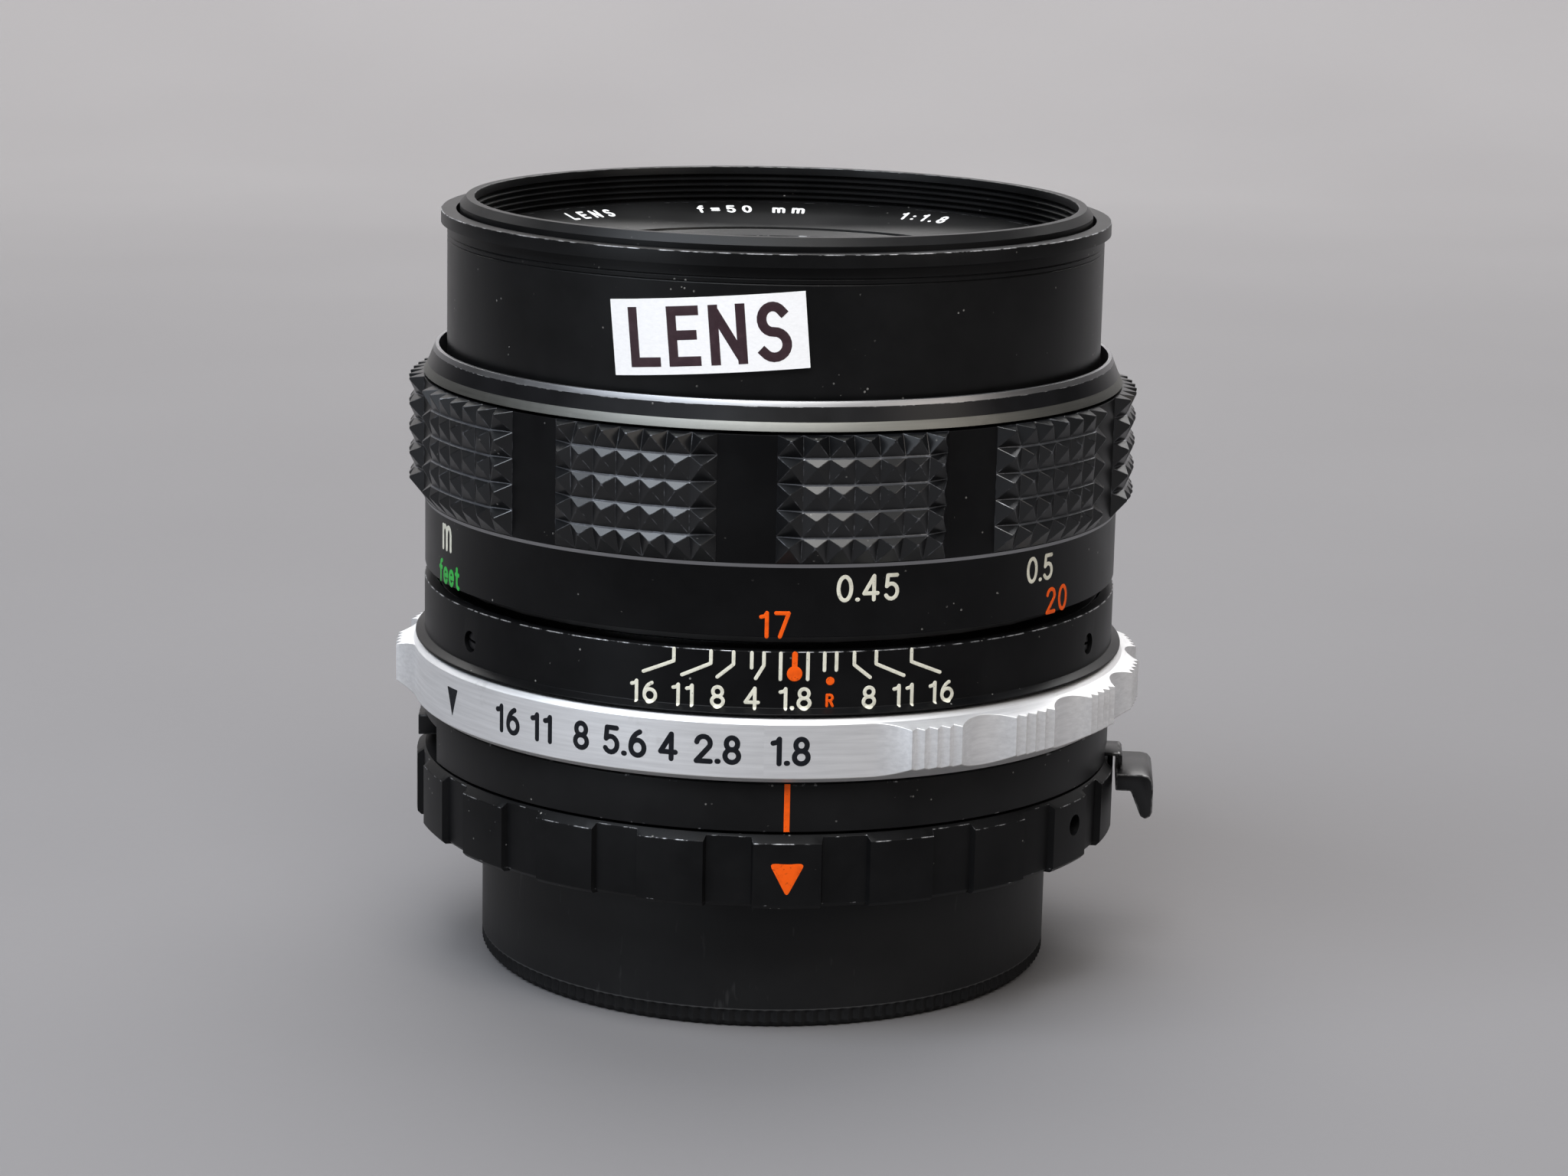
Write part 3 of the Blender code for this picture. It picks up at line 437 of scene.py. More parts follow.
def turned(name, section, finishes, azimuths=None, sharp=SHARP_ANGLE):
    """Turn an outline about the axis. The section is a list of corners, or a function of the azimuth.

    Corners run down the outside and up the bore. An outline whose ends lie on the axis closes there.
    """
    azimuths = azimuths or even()
    fixed = None if callable(section) else rounded(section)
    outlines = [fixed or rounded(section(azimuth)) for azimuth in azimuths]
    points, columns = [], []
    for azimuth, outline in zip(azimuths, outlines):
        column = []
        for j, (radius, height, _, _) in enumerate(outline):
            if radius < 0.001 and columns:
                column.append(columns[0][j])
                continue
            column.append(len(points))
            points.append(at(azimuth, radius, height))
        columns.append(column)
    size = len(outlines[0])
    open_ended = outlines[0][0][0] < 0.001
    faces, slots, wear_and_highlight = [], [], []
    for i, here in enumerate(columns):
        there = columns[(i + 1) % len(columns)]
        for j in range(size - 1 if open_ended else size):
            k = (j + 1) % size
            corners = list(dict.fromkeys((here[j], here[k], there[k], there[j])))
            if len(corners) > 2:
                faces.append(corners)
                wear_and_highlight.append(outlines[i][j][2])
                slots.append(outlines[i][j][3])
    return piece_from(name, points, faces, finishes, slots, wear_and_highlight, sharp)


def applied(piece):
    """Make the shape that a piece's modifiers give its own mesh."""
    bpy.context.view_layer.update()
    graph = bpy.context.evaluated_depsgraph_get()
    mesh = bpy.data.meshes.new_from_object(piece.evaluated_get(graph))
    piece.modifiers.clear()
    old = piece.data
    piece.data = mesh
    mesh.name = piece.name
    bpy.data.meshes.remove(old)


def carve(piece, cutter):
    """Cut one object's shape out of a piece, and delete it."""
    cut = piece.modifiers.new("cut", "BOOLEAN")
    cut.object = cutter
    cut.solver = "EXACT"
    applied(piece)
    bpy.data.objects.remove(cutter, do_unlink=True)


def placed(along, spot):
    """The matrix that turns +Z along a direction and moves the origin to a spot in mm."""
    return Matrix.Translation(Vector(spot) * MM) @ along.to_track_quat("Z", "Y").to_matrix().to_4x4()


def drill(piece, holes):
    """Cut round holes, each (radius, start, end) with its ends in mm."""
    for radius, start, end in holes:
        along = (Vector(end) - Vector(start)) * MM
        rod = bmesh.new()
        bmesh.ops.create_cone(
            rod, cap_ends=True, segments=40, radius1=radius * MM, radius2=radius * MM, depth=along.length
        )
        rod.transform(placed(along, (Vector(start) + Vector(end)) / 2))
        carve(piece, from_shape("drill", rod))
    piece.data.set_sharp_from_angle(angle=radians(SHARP_ANGLE))


def soften_edges(piece, width):
    """Round the sharp edges. The arcs take the piece's second material."""
    bevel = piece.modifiers.new("edges", "BEVEL")
    bevel.width = width * MM
    bevel.segments = 2
    bevel.limit_method = "ANGLE"
    bevel.angle_limit = radians(35.0)
    bevel.material = 1


def soften(node, width, key, edge):
    """Give a CAD node a finish, and rounded edges with a finish of their own."""
    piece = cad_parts[node]
    piece.data.materials.clear()
    for finish in (key, edge):
        piece.data.materials.append(FINISH[finish])
    weld = piece.modifiers.new("weld", "WELD")
    weld.merge_threshold = 0.002 * MM
    soften_edges(piece, width)
    piece.modifiers.new("normals", "WEIGHTED_NORMAL")


def slotted_screw(name, radius, base, top, body, node):
    """A small screw with a domed, slotted head whose face looks from base to top, both in mm."""
    outward = (Vector(top) - Vector(base)).normalized()
    length = (Vector(top) - Vector(base)).length
    profile = [(0.0, length), (radius * 0.5, length - 0.02), (radius * 0.86, length - 0.06),
               (radius, length - 0.2), (radius, 0.0), (0.0, 0.0)]
    screw = turned(name, profile, ["screw"], even(40))
    slot_depth = min(0.35, length * 0.5)
    bar = bmesh.new()
    bmesh.ops.create_cube(bar, size=1.0)
    bmesh.ops.scale(bar, verts=bar.verts, vec=(radius * 3 * MM, radius * 0.3 * MM, slot_depth * 2 * MM))
    bmesh.ops.translate(bar, verts=bar.verts, vec=(0.0, 0.0, length * MM))
    carve(screw, from_shape("slot", bar))
    turn = radians(len(name) * 37.0 + sum(map(ord, name)) % 90)
    screw.data.transform(placed(outward, base) @ Matrix.Rotation(turn, 4, "Z"))
    screw.data.set_sharp_from_angle(angle=radians(SHARP_ANGLE))
    dress(screw, body, "screw_steel", node)


# ---- painted figures

def bow(x, y, across, up, start, end, steps=14):
    """Points along part of an ellipse, from one angle to another, anticlockwise from the right."""
    turns = [radians(start + (end - start) * k / steps) for k in range(steps + 1)]
    return [(x + across * cos(t), y + up * sin(t)) for t in turns]


def line(*numbers):
    """Points given as x, y, x, y and so on."""
    return list(zip(numbers[::2], numbers[1::2]))


def lying_eight():
    """The sign for infinity."""
    path = []
    for k in range(37):
        t = radians(10.0 * k)
        shrink = 1 + sin(t) ** 2
        path.append((0.55 + 0.55 * cos(t) / shrink, 0.42 + 0.85 * sin(t) * cos(t) / shrink))
    return path


# Each figure is its width and its strokes, on a height of one.
FIGURES = {
    "0": (0.54, [bow(0.27, 0.5, 0.27, 0.5, 90, 450, 28)]),
    "1": (0.28, [line(0.02, 0.83, 0.18, 0.87, 0.26, 1), line(0.26, 1, 0.26, 0)]),
    "2": (0.54, [bow(0.27, 0.73, 0.26, 0.27, 172, -28) + line(0, 0), line(0, 0, 0.54, 0)]),
    "3": (0.52, [bow(0.25, 0.755, 0.22, 0.245, 155, -90), bow(0.25, 0.26, 0.27, 0.26, 90, -155)]),
    "4": (0.58, [line(0.42, 0, 0.42, 1), line(0.42, 1, 0, 0.27), line(0, 0.27, 0.58, 0.27)]),
    "5": (0.52, [line(0.48, 1, 0.08, 1), line(0.08, 1, 0.04, 0.54), bow(0.24, 0.32, 0.27, 0.32, 138, -148)]),
    "6": (0.54, [bow(0.27, 0.31, 0.27, 0.31, 90, 450, 24), bow(0.58, 0.34, 0.58, 0.67, 180, 112)]),
    "7": (0.52, [line(0, 1, 0.52, 1), line(0.52, 1, 0.17, 0)]),
    "8": (0.52, [bow(0.26, 0.755, 0.215, 0.245, 90, 450, 22), bow(0.26, 0.26, 0.26, 0.26, 90, 450, 24)]),
    "9": (0.54, [bow(0.27, 0.69, 0.27, 0.31, 90, 450, 24), bow(-0.04, 0.66, 0.58, 0.67, 0, -68)]),
    ".": (-0.16, [line(-0.10, 0.02, -0.06, 0.02)]),
    ":": (0.04, [line(0, 0.10, 0.04, 0.10), line(0, 0.60, 0.04, 0.60)]),
    "=": (0.50, [line(0, 0.30, 0.50, 0.30), line(0, 0.60, 0.50, 0.60)]),
    " ": (0.35, []),
    "~": (1.10, [lying_eight()]),
    "E": (0.48, [line(0, 0, 0, 1), line(0, 1, 0.48, 1), line(0, 0.52, 0.42, 0.52), line(0, 0, 0.48, 0)]),
    "L": (0.46, [line(0, 1, 0, 0), line(0, 0, 0.46, 0)]),
    "N": (0.56, [line(0, 0, 0, 1), line(0.04, 0.93, 0.52, 0.07), line(0.56, 0, 0.56, 1)]),
    "R": (0.52, [line(0, 0, 0, 1), line(0, 1) + bow(0.26, 0.745, 0.24, 0.255, 90, -90) + line(0, 0.49),
                 line(0.28, 0.49, 0.52, 0)]),
    "S": (0.52, [bow(0.26, 0.75, 0.23, 0.25, 35, 270) + bow(0.26, 0.25, 0.26, 0.25, 90, -145)]),
    "e": (0.48, [line(0.01, 0.36, 0.47, 0.36), bow(0.24, 0.35, 0.24, 0.35, 0, 318)]),
    "f": (0.34, [bow(0.34, 0.80, 0.20, 0.22, 85, 180) + line(0.14, 0), line(0, 0.66, 0.32, 0.66)]),
    "m": (0.80, [line(0, 0, 0, 0.70), bow(0.20, 0.46, 0.20, 0.24, 175, 0) + line(0.40, 0),
                 bow(0.60, 0.46, 0.20, 0.24, 175, 0) + line(0.80, 0)]),
    "t": (0.34, [line(0.14, 0.95, 0.14, 0.2) + bow(0.32, 0.2, 0.18, 0.2, 180, 275, 6),
                 line(0, 0.66, 0.32, 0.66)]),
}


def around(azimuth, height, radius):
    """A map from (right, up, out) in mm to a place on a surface of revolution, about a point on it.

    The radius is a number, or a function of the height.
    """
    def wrap(right, up, out):
        here = radius(height + up) if callable(radius) else radius
        return at(azimuth + degrees(right / here), here + out, height + up)
    return wrap


class Marks:
    """Painted figures and lines of one colour on one body. Each stroke is a low, closed ribbon of paint."""

    RIDGE = ((-1.0, -0.05), (-1.0, 0.004), (-0.82, 0.010), (0.0, 0.012), (0.82, 0.010), (1.0, 0.004),
             (1.0, -0.05))
    MOUND = ((0.4, 0.012), (0.75, 0.012), (0.96, 0.011), (1.0, 0.004), (1.0, -0.05), (0.5, -0.05))
    ROUND_END = (18.0, 38.0, 62.0, 90.0)

    def __init__(self, square=False, step=0.28, rise=0.0):
        self.square = square
        self.step = step
        self.rise = rise
        self.points = []
        self.faces = []
        self.strokes = 0

    def lift(self):
        """Overlapping strokes stand at heights of their own, so that no two surfaces coincide."""
        self.strokes += 1
        return self.rise + 0.0011 * (self.strokes % 8)

    def ring(self, wrap, spots, lift):
        """Add a ring of points (right, up, out), lifted where they are not buried, and number its first."""
        self.points += [wrap(right, up, out + lift if out > 0.0 else out) for right, up, out in spots]
        return len(self.points) - len(spots)

    def skin(self, rings, size, closed=False):
        """Join rings of points into a tube, with a lid at each end unless it closes on itself."""
        for first, second in zip(rings, rings[1:] + rings[:1] if closed else rings[1:]):
            for j in range(size):
                k = (j + 1) % size
                self.faces.append((first + j, second + j, second + k, first + k))
        if not closed:
            self.faces.append(tuple(rings[0] + j for j in range(size)))
            self.faces.append(tuple(rings[-1] + j for j in reversed(range(size))))

    def across(self, wrap, place, side, half, lift):
        """A ring of the ribbon's own section, across the stroke at a place."""
        return self.ring(wrap, [
            (place[0] + side[0] * half * share, place[1] + side[1] * half * share, out)
            for share, out in self.RIDGE
        ], lift)

    def stroke(self, path, width, wrap):
        half = width / 2
        dense = [path[0]]
        for (x0, y0), (x1, y1) in zip(path, path[1:]):
            parts = max(1, ceil(hypot(x1 - x0, y1 - y0) / self.step))
            dense += [(x0 + (x1 - x0) * k / parts, y0 + (y1 - y0) * k / parts) for k in range(1, parts + 1)]
        loop = len(path) > 8 and hypot(path[0][0] - path[-1][0], path[0][1] - path[-1][1]) < 0.001
        if loop:
            dense.pop()
        lift = self.lift()
        rings = []
        count = len(dense)
        for i, place in enumerate(dense):
            before = dense[i - 1] if i or loop else place
            after = dense[(i + 1) % count] if i + 1 < count or loop else place
            along = Vector((after[0] - before[0], after[1] - before[1])).normalized()
            side = (-along.y, along.x)
            here = [self.across(wrap, place, side, half, lift)]
            if i in (0, count - 1) and not loop:
                ends = []
                for cap in (90.0,) if self.square else self.ROUND_END:
                    reach = half * sin(radians(cap)) * (-1 if i == 0 else 1)
                    there = (place[0] + along.x * reach, place[1] + along.y * reach)
                    narrowed = half if self.square else half * max(cos(radians(cap)), 0.06)
                    ends.append(self.across(wrap, there, side, narrowed, lift))
                here = ends[::-1] + here if i == 0 else here + ends
            rings += here
        self.skin(rings, len(self.RIDGE), loop)

    def patch(self, outline, wrap):
        """A filled shape, whose outline runs anticlockwise about its middle."""
        size = len(outline)
        mid_x = sum(x for x, _ in outline) / size
        mid_y = sum(y for _, y in outline) / size
        lift = self.lift()
        rings = []
        for share, out in self.MOUND:
            spots = [(mid_x + (x - mid_x) * share, mid_y + (y - mid_y) * share, out) for x, y in outline]
            rings.append(self.ring(wrap, spots, lift))
        self.skin(rings, size)

    def write(self, text, height, width, wrap, gap=0.36, narrow=1.0):
        """Text centred on the map's own point. Heights run over the paint, and lines are as wide as told."""
        scale = height - width
        pen = -(sum(FIGURES[c][0] for c in text) + gap * (len(text) - 1)) / 2
        for character in text:
            advance, strokes = FIGURES[character]
            for path in strokes:
                self.stroke([((pen + x) * scale * narrow, (y - 0.5) * scale) for x, y in path], width, wrap)
            pen += advance + gap

    def done(self, name, key, body, slot):
        dress(piece_from(name, self.points, self.faces, [key], sharp=50.0), body, slot)


def blunt(corners, rounding):
    """A polygon's outline with its corners rounded."""
    outline = []
    for i, corner in enumerate(corners):
        outline += arc(corners[i - 1], corner, corners[(i + 1) % len(corners)], rounding, BLUNT_STEPS)
    return outline


# ---- rear cap

CAP_RIBS = 156
RIB_DEPTH = 0.24


def cap_section(azimuth):
    base, rim = CAP.bottom, CAP.front
    wall = rim - 1.7
    groove = RIB_DEPTH * abs((azimuth * CAP_RIBS / 180.0) % 2.0 - 1.0)
    return [
        (0.0, base + 1.8), (wall - 0.6, base + 1.8, 0.3), (wall, base + 2.4, 0.3),
        (wall, CAP.top, 0.12), (rim, CAP.top, 0.2), (rim, base + 1.5, 0.06),
        (rim - groove, base + 1.3), (rim - groove, base + 0.5), (rim - 0.45 - 0.3 * groove, base + 0.06),
        (rim - 0.9, base), (18.6, base, 0.15), (18.4, base + 0.35, 0.1), (6.0, base + 0.35, 0.1),
        (5.7, base + 0.55, 0.1), (0.0, base + 0.55),
    ]


cap = turned("rear_cap_shell", cap_section, ["plastic"], even(CAP_RIBS * 4))
dress(cap, "rear_cap", "cap_plastic", "rear_cap")


# ---- mount and rear barrel

FLANGE_CIRCLE = 22.6
FLANGE_SCREWS = (30.0, 150.0, 270.0)
FLANGE_BORE = 19.6

flange = turned("mount_plate", [
    (FLANGE_BORE, FLANGE.top, 0.1), (FLANGE.front, FLANGE.top, 0.1), (FLANGE.front, FLANGE.top - 1.3, 0.15),
    (21.2, FLANGE.top - 1.3, 0.1), (21.2, FLANGE.bottom + 0.5, 0.1), (20.7, FLANGE.bottom, 0.1),
    (FLANGE_BORE, FLANGE.bottom, 0.1),
], ["mount"])
drill(flange, [
    (1.3, at(azimuth, FLANGE_CIRCLE, FLANGE.bottom), at(azimuth, FLANGE_CIRCLE, FLANGE.top + 1.0))
    for azimuth in FLANGE_SCREWS
])
dress(flange, "barrel", "mount_metal", "mount_flange")
for number, azimuth in enumerate(FLANGE_SCREWS, 1):
    screw = span(f"flange_screw_{number}")
    slotted_screw(
        f"mount_screw_{number}", 1.0, at(azimuth, FLANGE_CIRCLE, screw.top),
        at(azimuth, FLANGE_CIRCLE, screw.bottom), "barrel", f"flange_screw_{number}",
    )


def barrel_section(azimuth):
    """The fixed barrel's outline: windows for the coupling hook and the lever open its rear lip."""
    turn = (azimuth + 180.0) % 360.0 - 180.0
    base, wall = BARREL.bottom, BARREL.front
    lip, seat = base + 2.6, base + 6.4
    roof = back = lip
    if HOOK_RANGE[0] < turn < HOOK_RANGE[1]:
        roof, back = base + 3.6, base + 6.0
    if LEVER_RANGE[0] < turn < LEVER_RANGE[1]:
        roof = back = base + 5.4
    return [
        (24.7, BARREL.top, 0.1), (26.9, BARREL.top, 0.1), (26.9, seat), (wall, seat, 0.18),
        (wall, roof, 0.12), (27.3, roof), (27.25, back), (25.75, back), (25.7, lip), (25.0, lip),
        (25.0, base, 0.1), (FLANGE_BORE, base, 0.1), (FLANGE_BORE, base + 1.6, 0.1), (24.7, base + 1.6),
    ]


barrel = turned("barrel_skin", barrel_section, ["barrel"], with_edges(HOOK_RANGE + LEVER_RANGE))
dress(barrel, "barrel", "black_paint", "main_barrel")


# ---- breech ring

BREECH_PADS, BREECH_PAD_START, BREECH_PAD_WIDTH, BREECH_PAD_HEIGHT = 20, -1.5, 10.7, 0.5
BREECH_PERIOD = 360.0 / BREECH_PADS
GRUB_HOLE, GRUB_SCREW = 0.85, 0.75


def breech_section(azimuth):
    """Low pads round the ring, with a chamfer that runs over pads and recesses alike."""
    base, top = BREECH.bottom, BREECH.top
    on_pad = (azimuth - BREECH_PAD_START) % BREECH_PERIOD < BREECH_PAD_WIDTH
    radius = BREECH.front if on_pad else BREECH.front - BREECH_PAD_HEIGHT
    edge = top - 0.55 + 0.8 * (BREECH.front - radius)
    return [
        (25.3, top, 0.1), (BREECH.front - 0.69, top), (radius, edge, 0.045),
        (radius, base + 0.3, 0.05, 1), (radius - 0.3, base, 0.0, 1), (24.0, base, 0.12, 1),
        (24.0, base + 1.3, 0.1), (26.8, base + 1.3), (26.8, top - 2.7), (25.3, top - 2.7),
    ]


def breech_screw_place(radius):
    return at(59.0, radius, 14.5)


pad_starts = [BREECH_PAD_START + BREECH_PERIOD * pad for pad in range(BREECH_PADS)]
pad_edges = [start + edge for start in pad_starts for edge in (0.0, BREECH_PAD_WIDTH)]
breech = turned("breech_grip", breech_section, ["breech", "barrel"], with_edges(pad_edges, width=0.3))
drill(breech, [(GRUB_HOLE, breech_screw_place(26.0), breech_screw_place(30.0))])
dress(breech, "breech_ring", "black_paint", "breech_ring")
slotted_screw(
    "breech_grub_screw", GRUB_SCREW, breech_screw_place(27.5), breech_screw_place(28.0),
    "breech_ring", "breech_ring_screw",
)


# ---- aperture ring

GRIP_START, GRIP_END, LANDS, LAND_WIDTH = 21.4, 277.0, 15, 8.0
LAND_PERIOD = (GRIP_END - GRIP_START - LAND_WIDTH) / (LANDS - 1)
LAND_RADIUS, PLAIN_RADIUS = 30.4, 29.0
GROOVE_PITCH, GROOVE_DEPTH, CREST_HALF = 2.0, 0.4, 0.06
WALL_WIDTH, WALL_ROUND = 5.2, 3.45
SCALLOP_DEPTH, SCALLOP_ROUND = 1.15, 3.445
CURVE_STEPS = 14


def aperture_radius(azimuth):
    """The ring's face: a plain arc for the figures, then lands of four V grooves between scallops."""
    turn = azimuth % 360.0
    outside = max(GRIP_START - turn, turn - GRIP_END)
    if outside > 0.0:
        reach = max(WALL_WIDTH - outside, 0.0) * radians(LAND_RADIUS)
        return min(PLAIN_RADIUS + WALL_ROUND - sqrt(WALL_ROUND ** 2 - reach ** 2), LAND_RADIUS)
    along = (turn - GRIP_START) % LAND_PERIOD
    if along <= LAND_WIDTH or turn > GRIP_END - LAND_WIDTH:
        from_floor = abs(along % GROOVE_PITCH - GROOVE_PITCH / 2)
        return LAND_RADIUS - GROOVE_DEPTH * min(1.0, 1.06 * (1.0 - from_floor))
    aside = abs(along - (LAND_WIDTH + LAND_PERIOD) / 2) * radians(LAND_RADIUS)
    return LAND_RADIUS - SCALLOP_DEPTH + SCALLOP_ROUND - sqrt(SCALLOP_ROUND ** 2 - aside ** 2)


def aperture_section(azimuth):
    base, top = APERTURE.bottom, APERTURE.top
    radius = aperture_radius(azimuth)
    proud = (radius - PLAIN_RADIUS) / (LAND_RADIUS - PLAIN_RADIUS)
    return [
        (27.2, top, 0.06), (28.56, top, 0.06), (PLAIN_RADIUS - 0.03, top - 0.39, 0.02),
        (radius, top - 0.42 - 0.42 * proud, 0.05, 0), (radius, base + 0.43 + 0.75 * proud, 0.06, 1),
        (PLAIN_RADIUS - 0.03, base + 0.41, 0.03, 1), (28.4, base, 0.05, 1), (27.2, base, 0.0, 1),
    ]


def aperture_azimuths():
    """Even steps on the plain arc, and azimuths that follow every groove and curve of the grip."""
    turns = [GRIP_END + WALL_WIDTH - 0.2 + k for k in range(1, 94)]
    turns += [GRIP_START - WALL_WIDTH + WALL_WIDTH * k / CURVE_STEPS for k in range(CURVE_STEPS)]
    crests = [GROOVE_PITCH * k for k in range(5)]
    blunted = [crest + side for crest in crests for side in (-CREST_HALF, CREST_HALF)]
    for land in range(LANDS):
        first = GRIP_START + land * LAND_PERIOD
        turns += [first + side for side in blunted if 0 < side < LAND_WIDTH]
        turns += [first + crest + GROOVE_PITCH / 2 for crest in crests[:-1]]
        turns += [first, first + LAND_WIDTH]
        if land < LANDS - 1:
            scallop = LAND_PERIOD - LAND_WIDTH
            turns += [first + LAND_WIDTH + scallop * k / CURVE_STEPS for k in range(1, CURVE_STEPS)]
    turns += [GRIP_END + WALL_WIDTH * k / CURVE_STEPS for k in range(1, CURVE_STEPS + 1)]
    return sorted(turn % 360.0 for turn in turns)


# The ring's face is bright aluminium; its lower bevel, bottom and bore take the painted shade copy.
aperture = turned(
    "aperture_grip", aperture_section, ["aluminium", "painted_shade_aluminium"], aperture_azimuths(), sharp=24.0
)
dress(aperture, "aperture_ring", "bright_aluminium", "aperture_ring")


# ---- depth scale

DEPTH_RADIUS = 28.07
BEAD_TOP, BEAD_FLARE = 0.4, 0.3
DEPTH_SCREWS = (-55.5, 64.5, 184.5)
DEPTH_SCREW_HEIGHT = 28.6


def depth_radius(height):
    """The depth ring's surface: a cylinder that flares out to a bead at the bottom."""
    share = min(max((DEPTH.bottom + BEAD_TOP - height) / BEAD_FLARE, 0.0), 1.0)
    return DEPTH_RADIUS + (DEPTH.front - DEPTH_RADIUS) * share


depth_ring = turned("depth_ring_skin", [
    (27.15, DEPTH.top, 0.05), (DEPTH_RADIUS, DEPTH.top, 0.07),
    (DEPTH_RADIUS, DEPTH.bottom + BEAD_TOP, 0.06, 1), (DEPTH.front, DEPTH.bottom + 0.1, 0.05, 1),
    (DEPTH.front, DEPTH.bottom, 0.0, 1), (27.15, DEPTH.bottom),
], ["scale", "band"])
drill(depth_ring, [
    (GRUB_HOLE, at(azimuth, 26.5, DEPTH_SCREW_HEIGHT), at(azimuth, 29.5, DEPTH_SCREW_HEIGHT))
    for azimuth in DEPTH_SCREWS
])
dress(depth_ring, "barrel", "black_anodised", "depth_scale_ring")
for number, azimuth in enumerate(DEPTH_SCREWS, 1):
    slotted_screw(
        f"depth_grub_screw_{number}", GRUB_SCREW, at(azimuth, 27.1, DEPTH_SCREW_HEIGHT),
        at(azimuth, 27.85, DEPTH_SCREW_HEIGHT), "barrel", f"depth_ring_screw_{number}",
    )


# ---- focus ring and its grip

FOCUS_BORE, BAND_RADIUS, GAP_RADIUS = 26.95, 28.04, 28.2
GRIP_ROWS = (47.62, 46.0, 44.0, 42.0, 40.0, 37.95)
ROW_PITCH, PEAK_DROP = 2.0, 0.68
PADS, PAD_START, PAD_WIDTH, PAD_COLUMNS = 10, 1.1, 27.0, 7
VALLEY_RADIUS, PEAK_RADIUS = 28.87, 29.33
# A blunted tip's corners: degrees and mm from the peak.
TIP = ((-0.16, 0.07), (-0.16, -0.09), (0.16, -0.09), (0.16, 0.07))
# Shares in the wear channel: a painted highlight along the row lines, set above one so the bare colour shows
# in full, and wear on the tips and on the ridges between the pyramids.
LINE_HIGHLIGHT, TIP_WEAR, RIDGE_WEAR = 1.5, 1.0, 0.8

band = turned("focus_band", [
    (FOCUS_BORE, FOCUS.top, 0.05), (GAP_RADIUS, FOCUS.top, 0.06), (GAP_RADIUS, FOCUS.bottom + 5.6, 0.0, 1),
    (BAND_RADIUS, FOCUS.bottom + 5.3), (BAND_RADIUS, FOCUS.bottom, 0.08), (FOCUS_BORE, FOCUS.bottom),
], ["band", "trim"])
dress(band, "focus_ring", "black_anodised", "focus_ring")


def grip_pad(start):
    """One pad of the focus grip: columns and rows of pyramids cut into a closed block."""
    shape = bmesh.new()
    width = PAD_WIDTH / PAD_COLUMNS
    last = len(GRIP_ROWS) - 1
    verts = {}

    def vert(azimuth, radius, height):
        key = (round(azimuth, 4), round(radius, 4), round(height, 4))
        if key not in verts:
            verts[key] = shape.verts.new(Vector(at(azimuth, radius, height)) * MM)
        return verts[key]

    def corner(column, row, below=False):
        """A corner between pyramids. Each inner row line is a narrow ledge, further out on its lower side."""
        radius, shift = (VALLEY_RADIUS + 0.05, -0.05) if below else (VALLEY_RADIUS - 0.07, 0.02)
        if column in (0, PAD_COLUMNS) or row in (0, last):
            radius, shift = GAP_RADIUS, 0.0
        return vert(start + column * width, radius, GRIP_ROWS[row] + shift)

    def foot(column, row):
        return vert(start + column * width, GAP_RADIUS - 0.3, GRIP_ROWS[row])

    for row in range(last):
        peak = (GRIP_ROWS[row + 1] + ROW_PITCH if row < last - 1 else GRIP_ROWS[row]) - PEAK_DROP
        for column in range(PAD_COLUMNS):
            middle = start + (column + 0.5) * width
            outer = [corner(column, row, True), corner(column, row + 1),
                     corner(column + 1, row + 1), corner(column + 1, row, True)]
            tip = [vert(middle + x, PEAK_RADIUS, peak + z) for x, z in TIP]
            for k in range(4):
                shape.faces.new((outer[k], outer[(k + 1) % 4], tip[(k + 1) % 4], tip[k]))
            shape.faces.new(tip)
            if row:
                ledge = [corner(column, row), outer[0], outer[3], corner(column + 1, row)]
                shape.faces.new(list(dict.fromkeys(ledge)))
            corners = ((column, row), (column + 1, row), (column + 1, row + 1), (column, row + 1))
            shape.faces.new([foot(*place) for place in corners])
    walls = [((0, row), (0, row + 1)) for row in range(last)]
    walls += [((PAD_COLUMNS, row + 1), (PAD_COLUMNS, row)) for row in range(last)]
    walls += [((column + 1, 0), (column, 0)) for column in range(PAD_COLUMNS)]
    walls += [((column, last), (column + 1, last)) for column in range(PAD_COLUMNS)]
    for first, second in walls:
        shape.faces.new((corner(*first), foot(*first), foot(*second), corner(*second)))
    return shape


def focus_grip():
    """All ten pads as one piece, with their ridges, row lines and tips bevelled. The tips and ridges wear;
    each row line carries a painted highlight.
    """
    points, faces, wear_and_highlight = [], [], []
    for pad in range(PADS):
        shape = grip_pad(PAD_START + 360.0 / PADS * pad)
        bmesh.ops.recalc_face_normals(shape, faces=shape.faces)
        ridges = [edge for edge in shape.edges if edge.calc_face_angle(0.0) > radians(9.0)
                  and min(hypot(v.co.x, v.co.y) for v in edge.verts) > (GAP_RADIUS - 0.1) * MM]
        bmesh.ops.bevel(
            shape, geom=ridges, offset=0.035 * MM, offset_type="OFFSET", segments=1, profile=0.5,
            affect="EDGES", clamp_overlap=True, material=1,
        )
        first = len(points)
        shape.verts.index_update()
        points += [tuple(v.co / MM) for v in shape.verts]
        for face in shape.faces:
            faces.append([first + v.index for v in face.verts])
            out = sum(hypot(v.co.x, v.co.y) for v in face.verts) / len(face.verts) / MM
            heights = [v.co.z for v in face.verts]
            level = max(heights) - min(heights) < 0.13 * MM
            # Row lines: a painted highlight, the bare colour laid along the concave line between rows.
            if level and GAP_RADIUS + 0.1 < out < VALLEY_RADIUS + 0.06:
                wear_and_highlight.append(LINE_HIGHLIGHT)
            elif out > PEAK_RADIUS - 0.04:
                wear_and_highlight.append(TIP_WEAR)
            else:
                wear_and_highlight.append(RIDGE_WEAR * face.material_index)
        shape.free()
    return piece_from("focus_grip_pads", points, faces, ["grip"], None, wear_and_highlight, 9.0)


dress(focus_grip(), "focus_ring", "black_anodised")

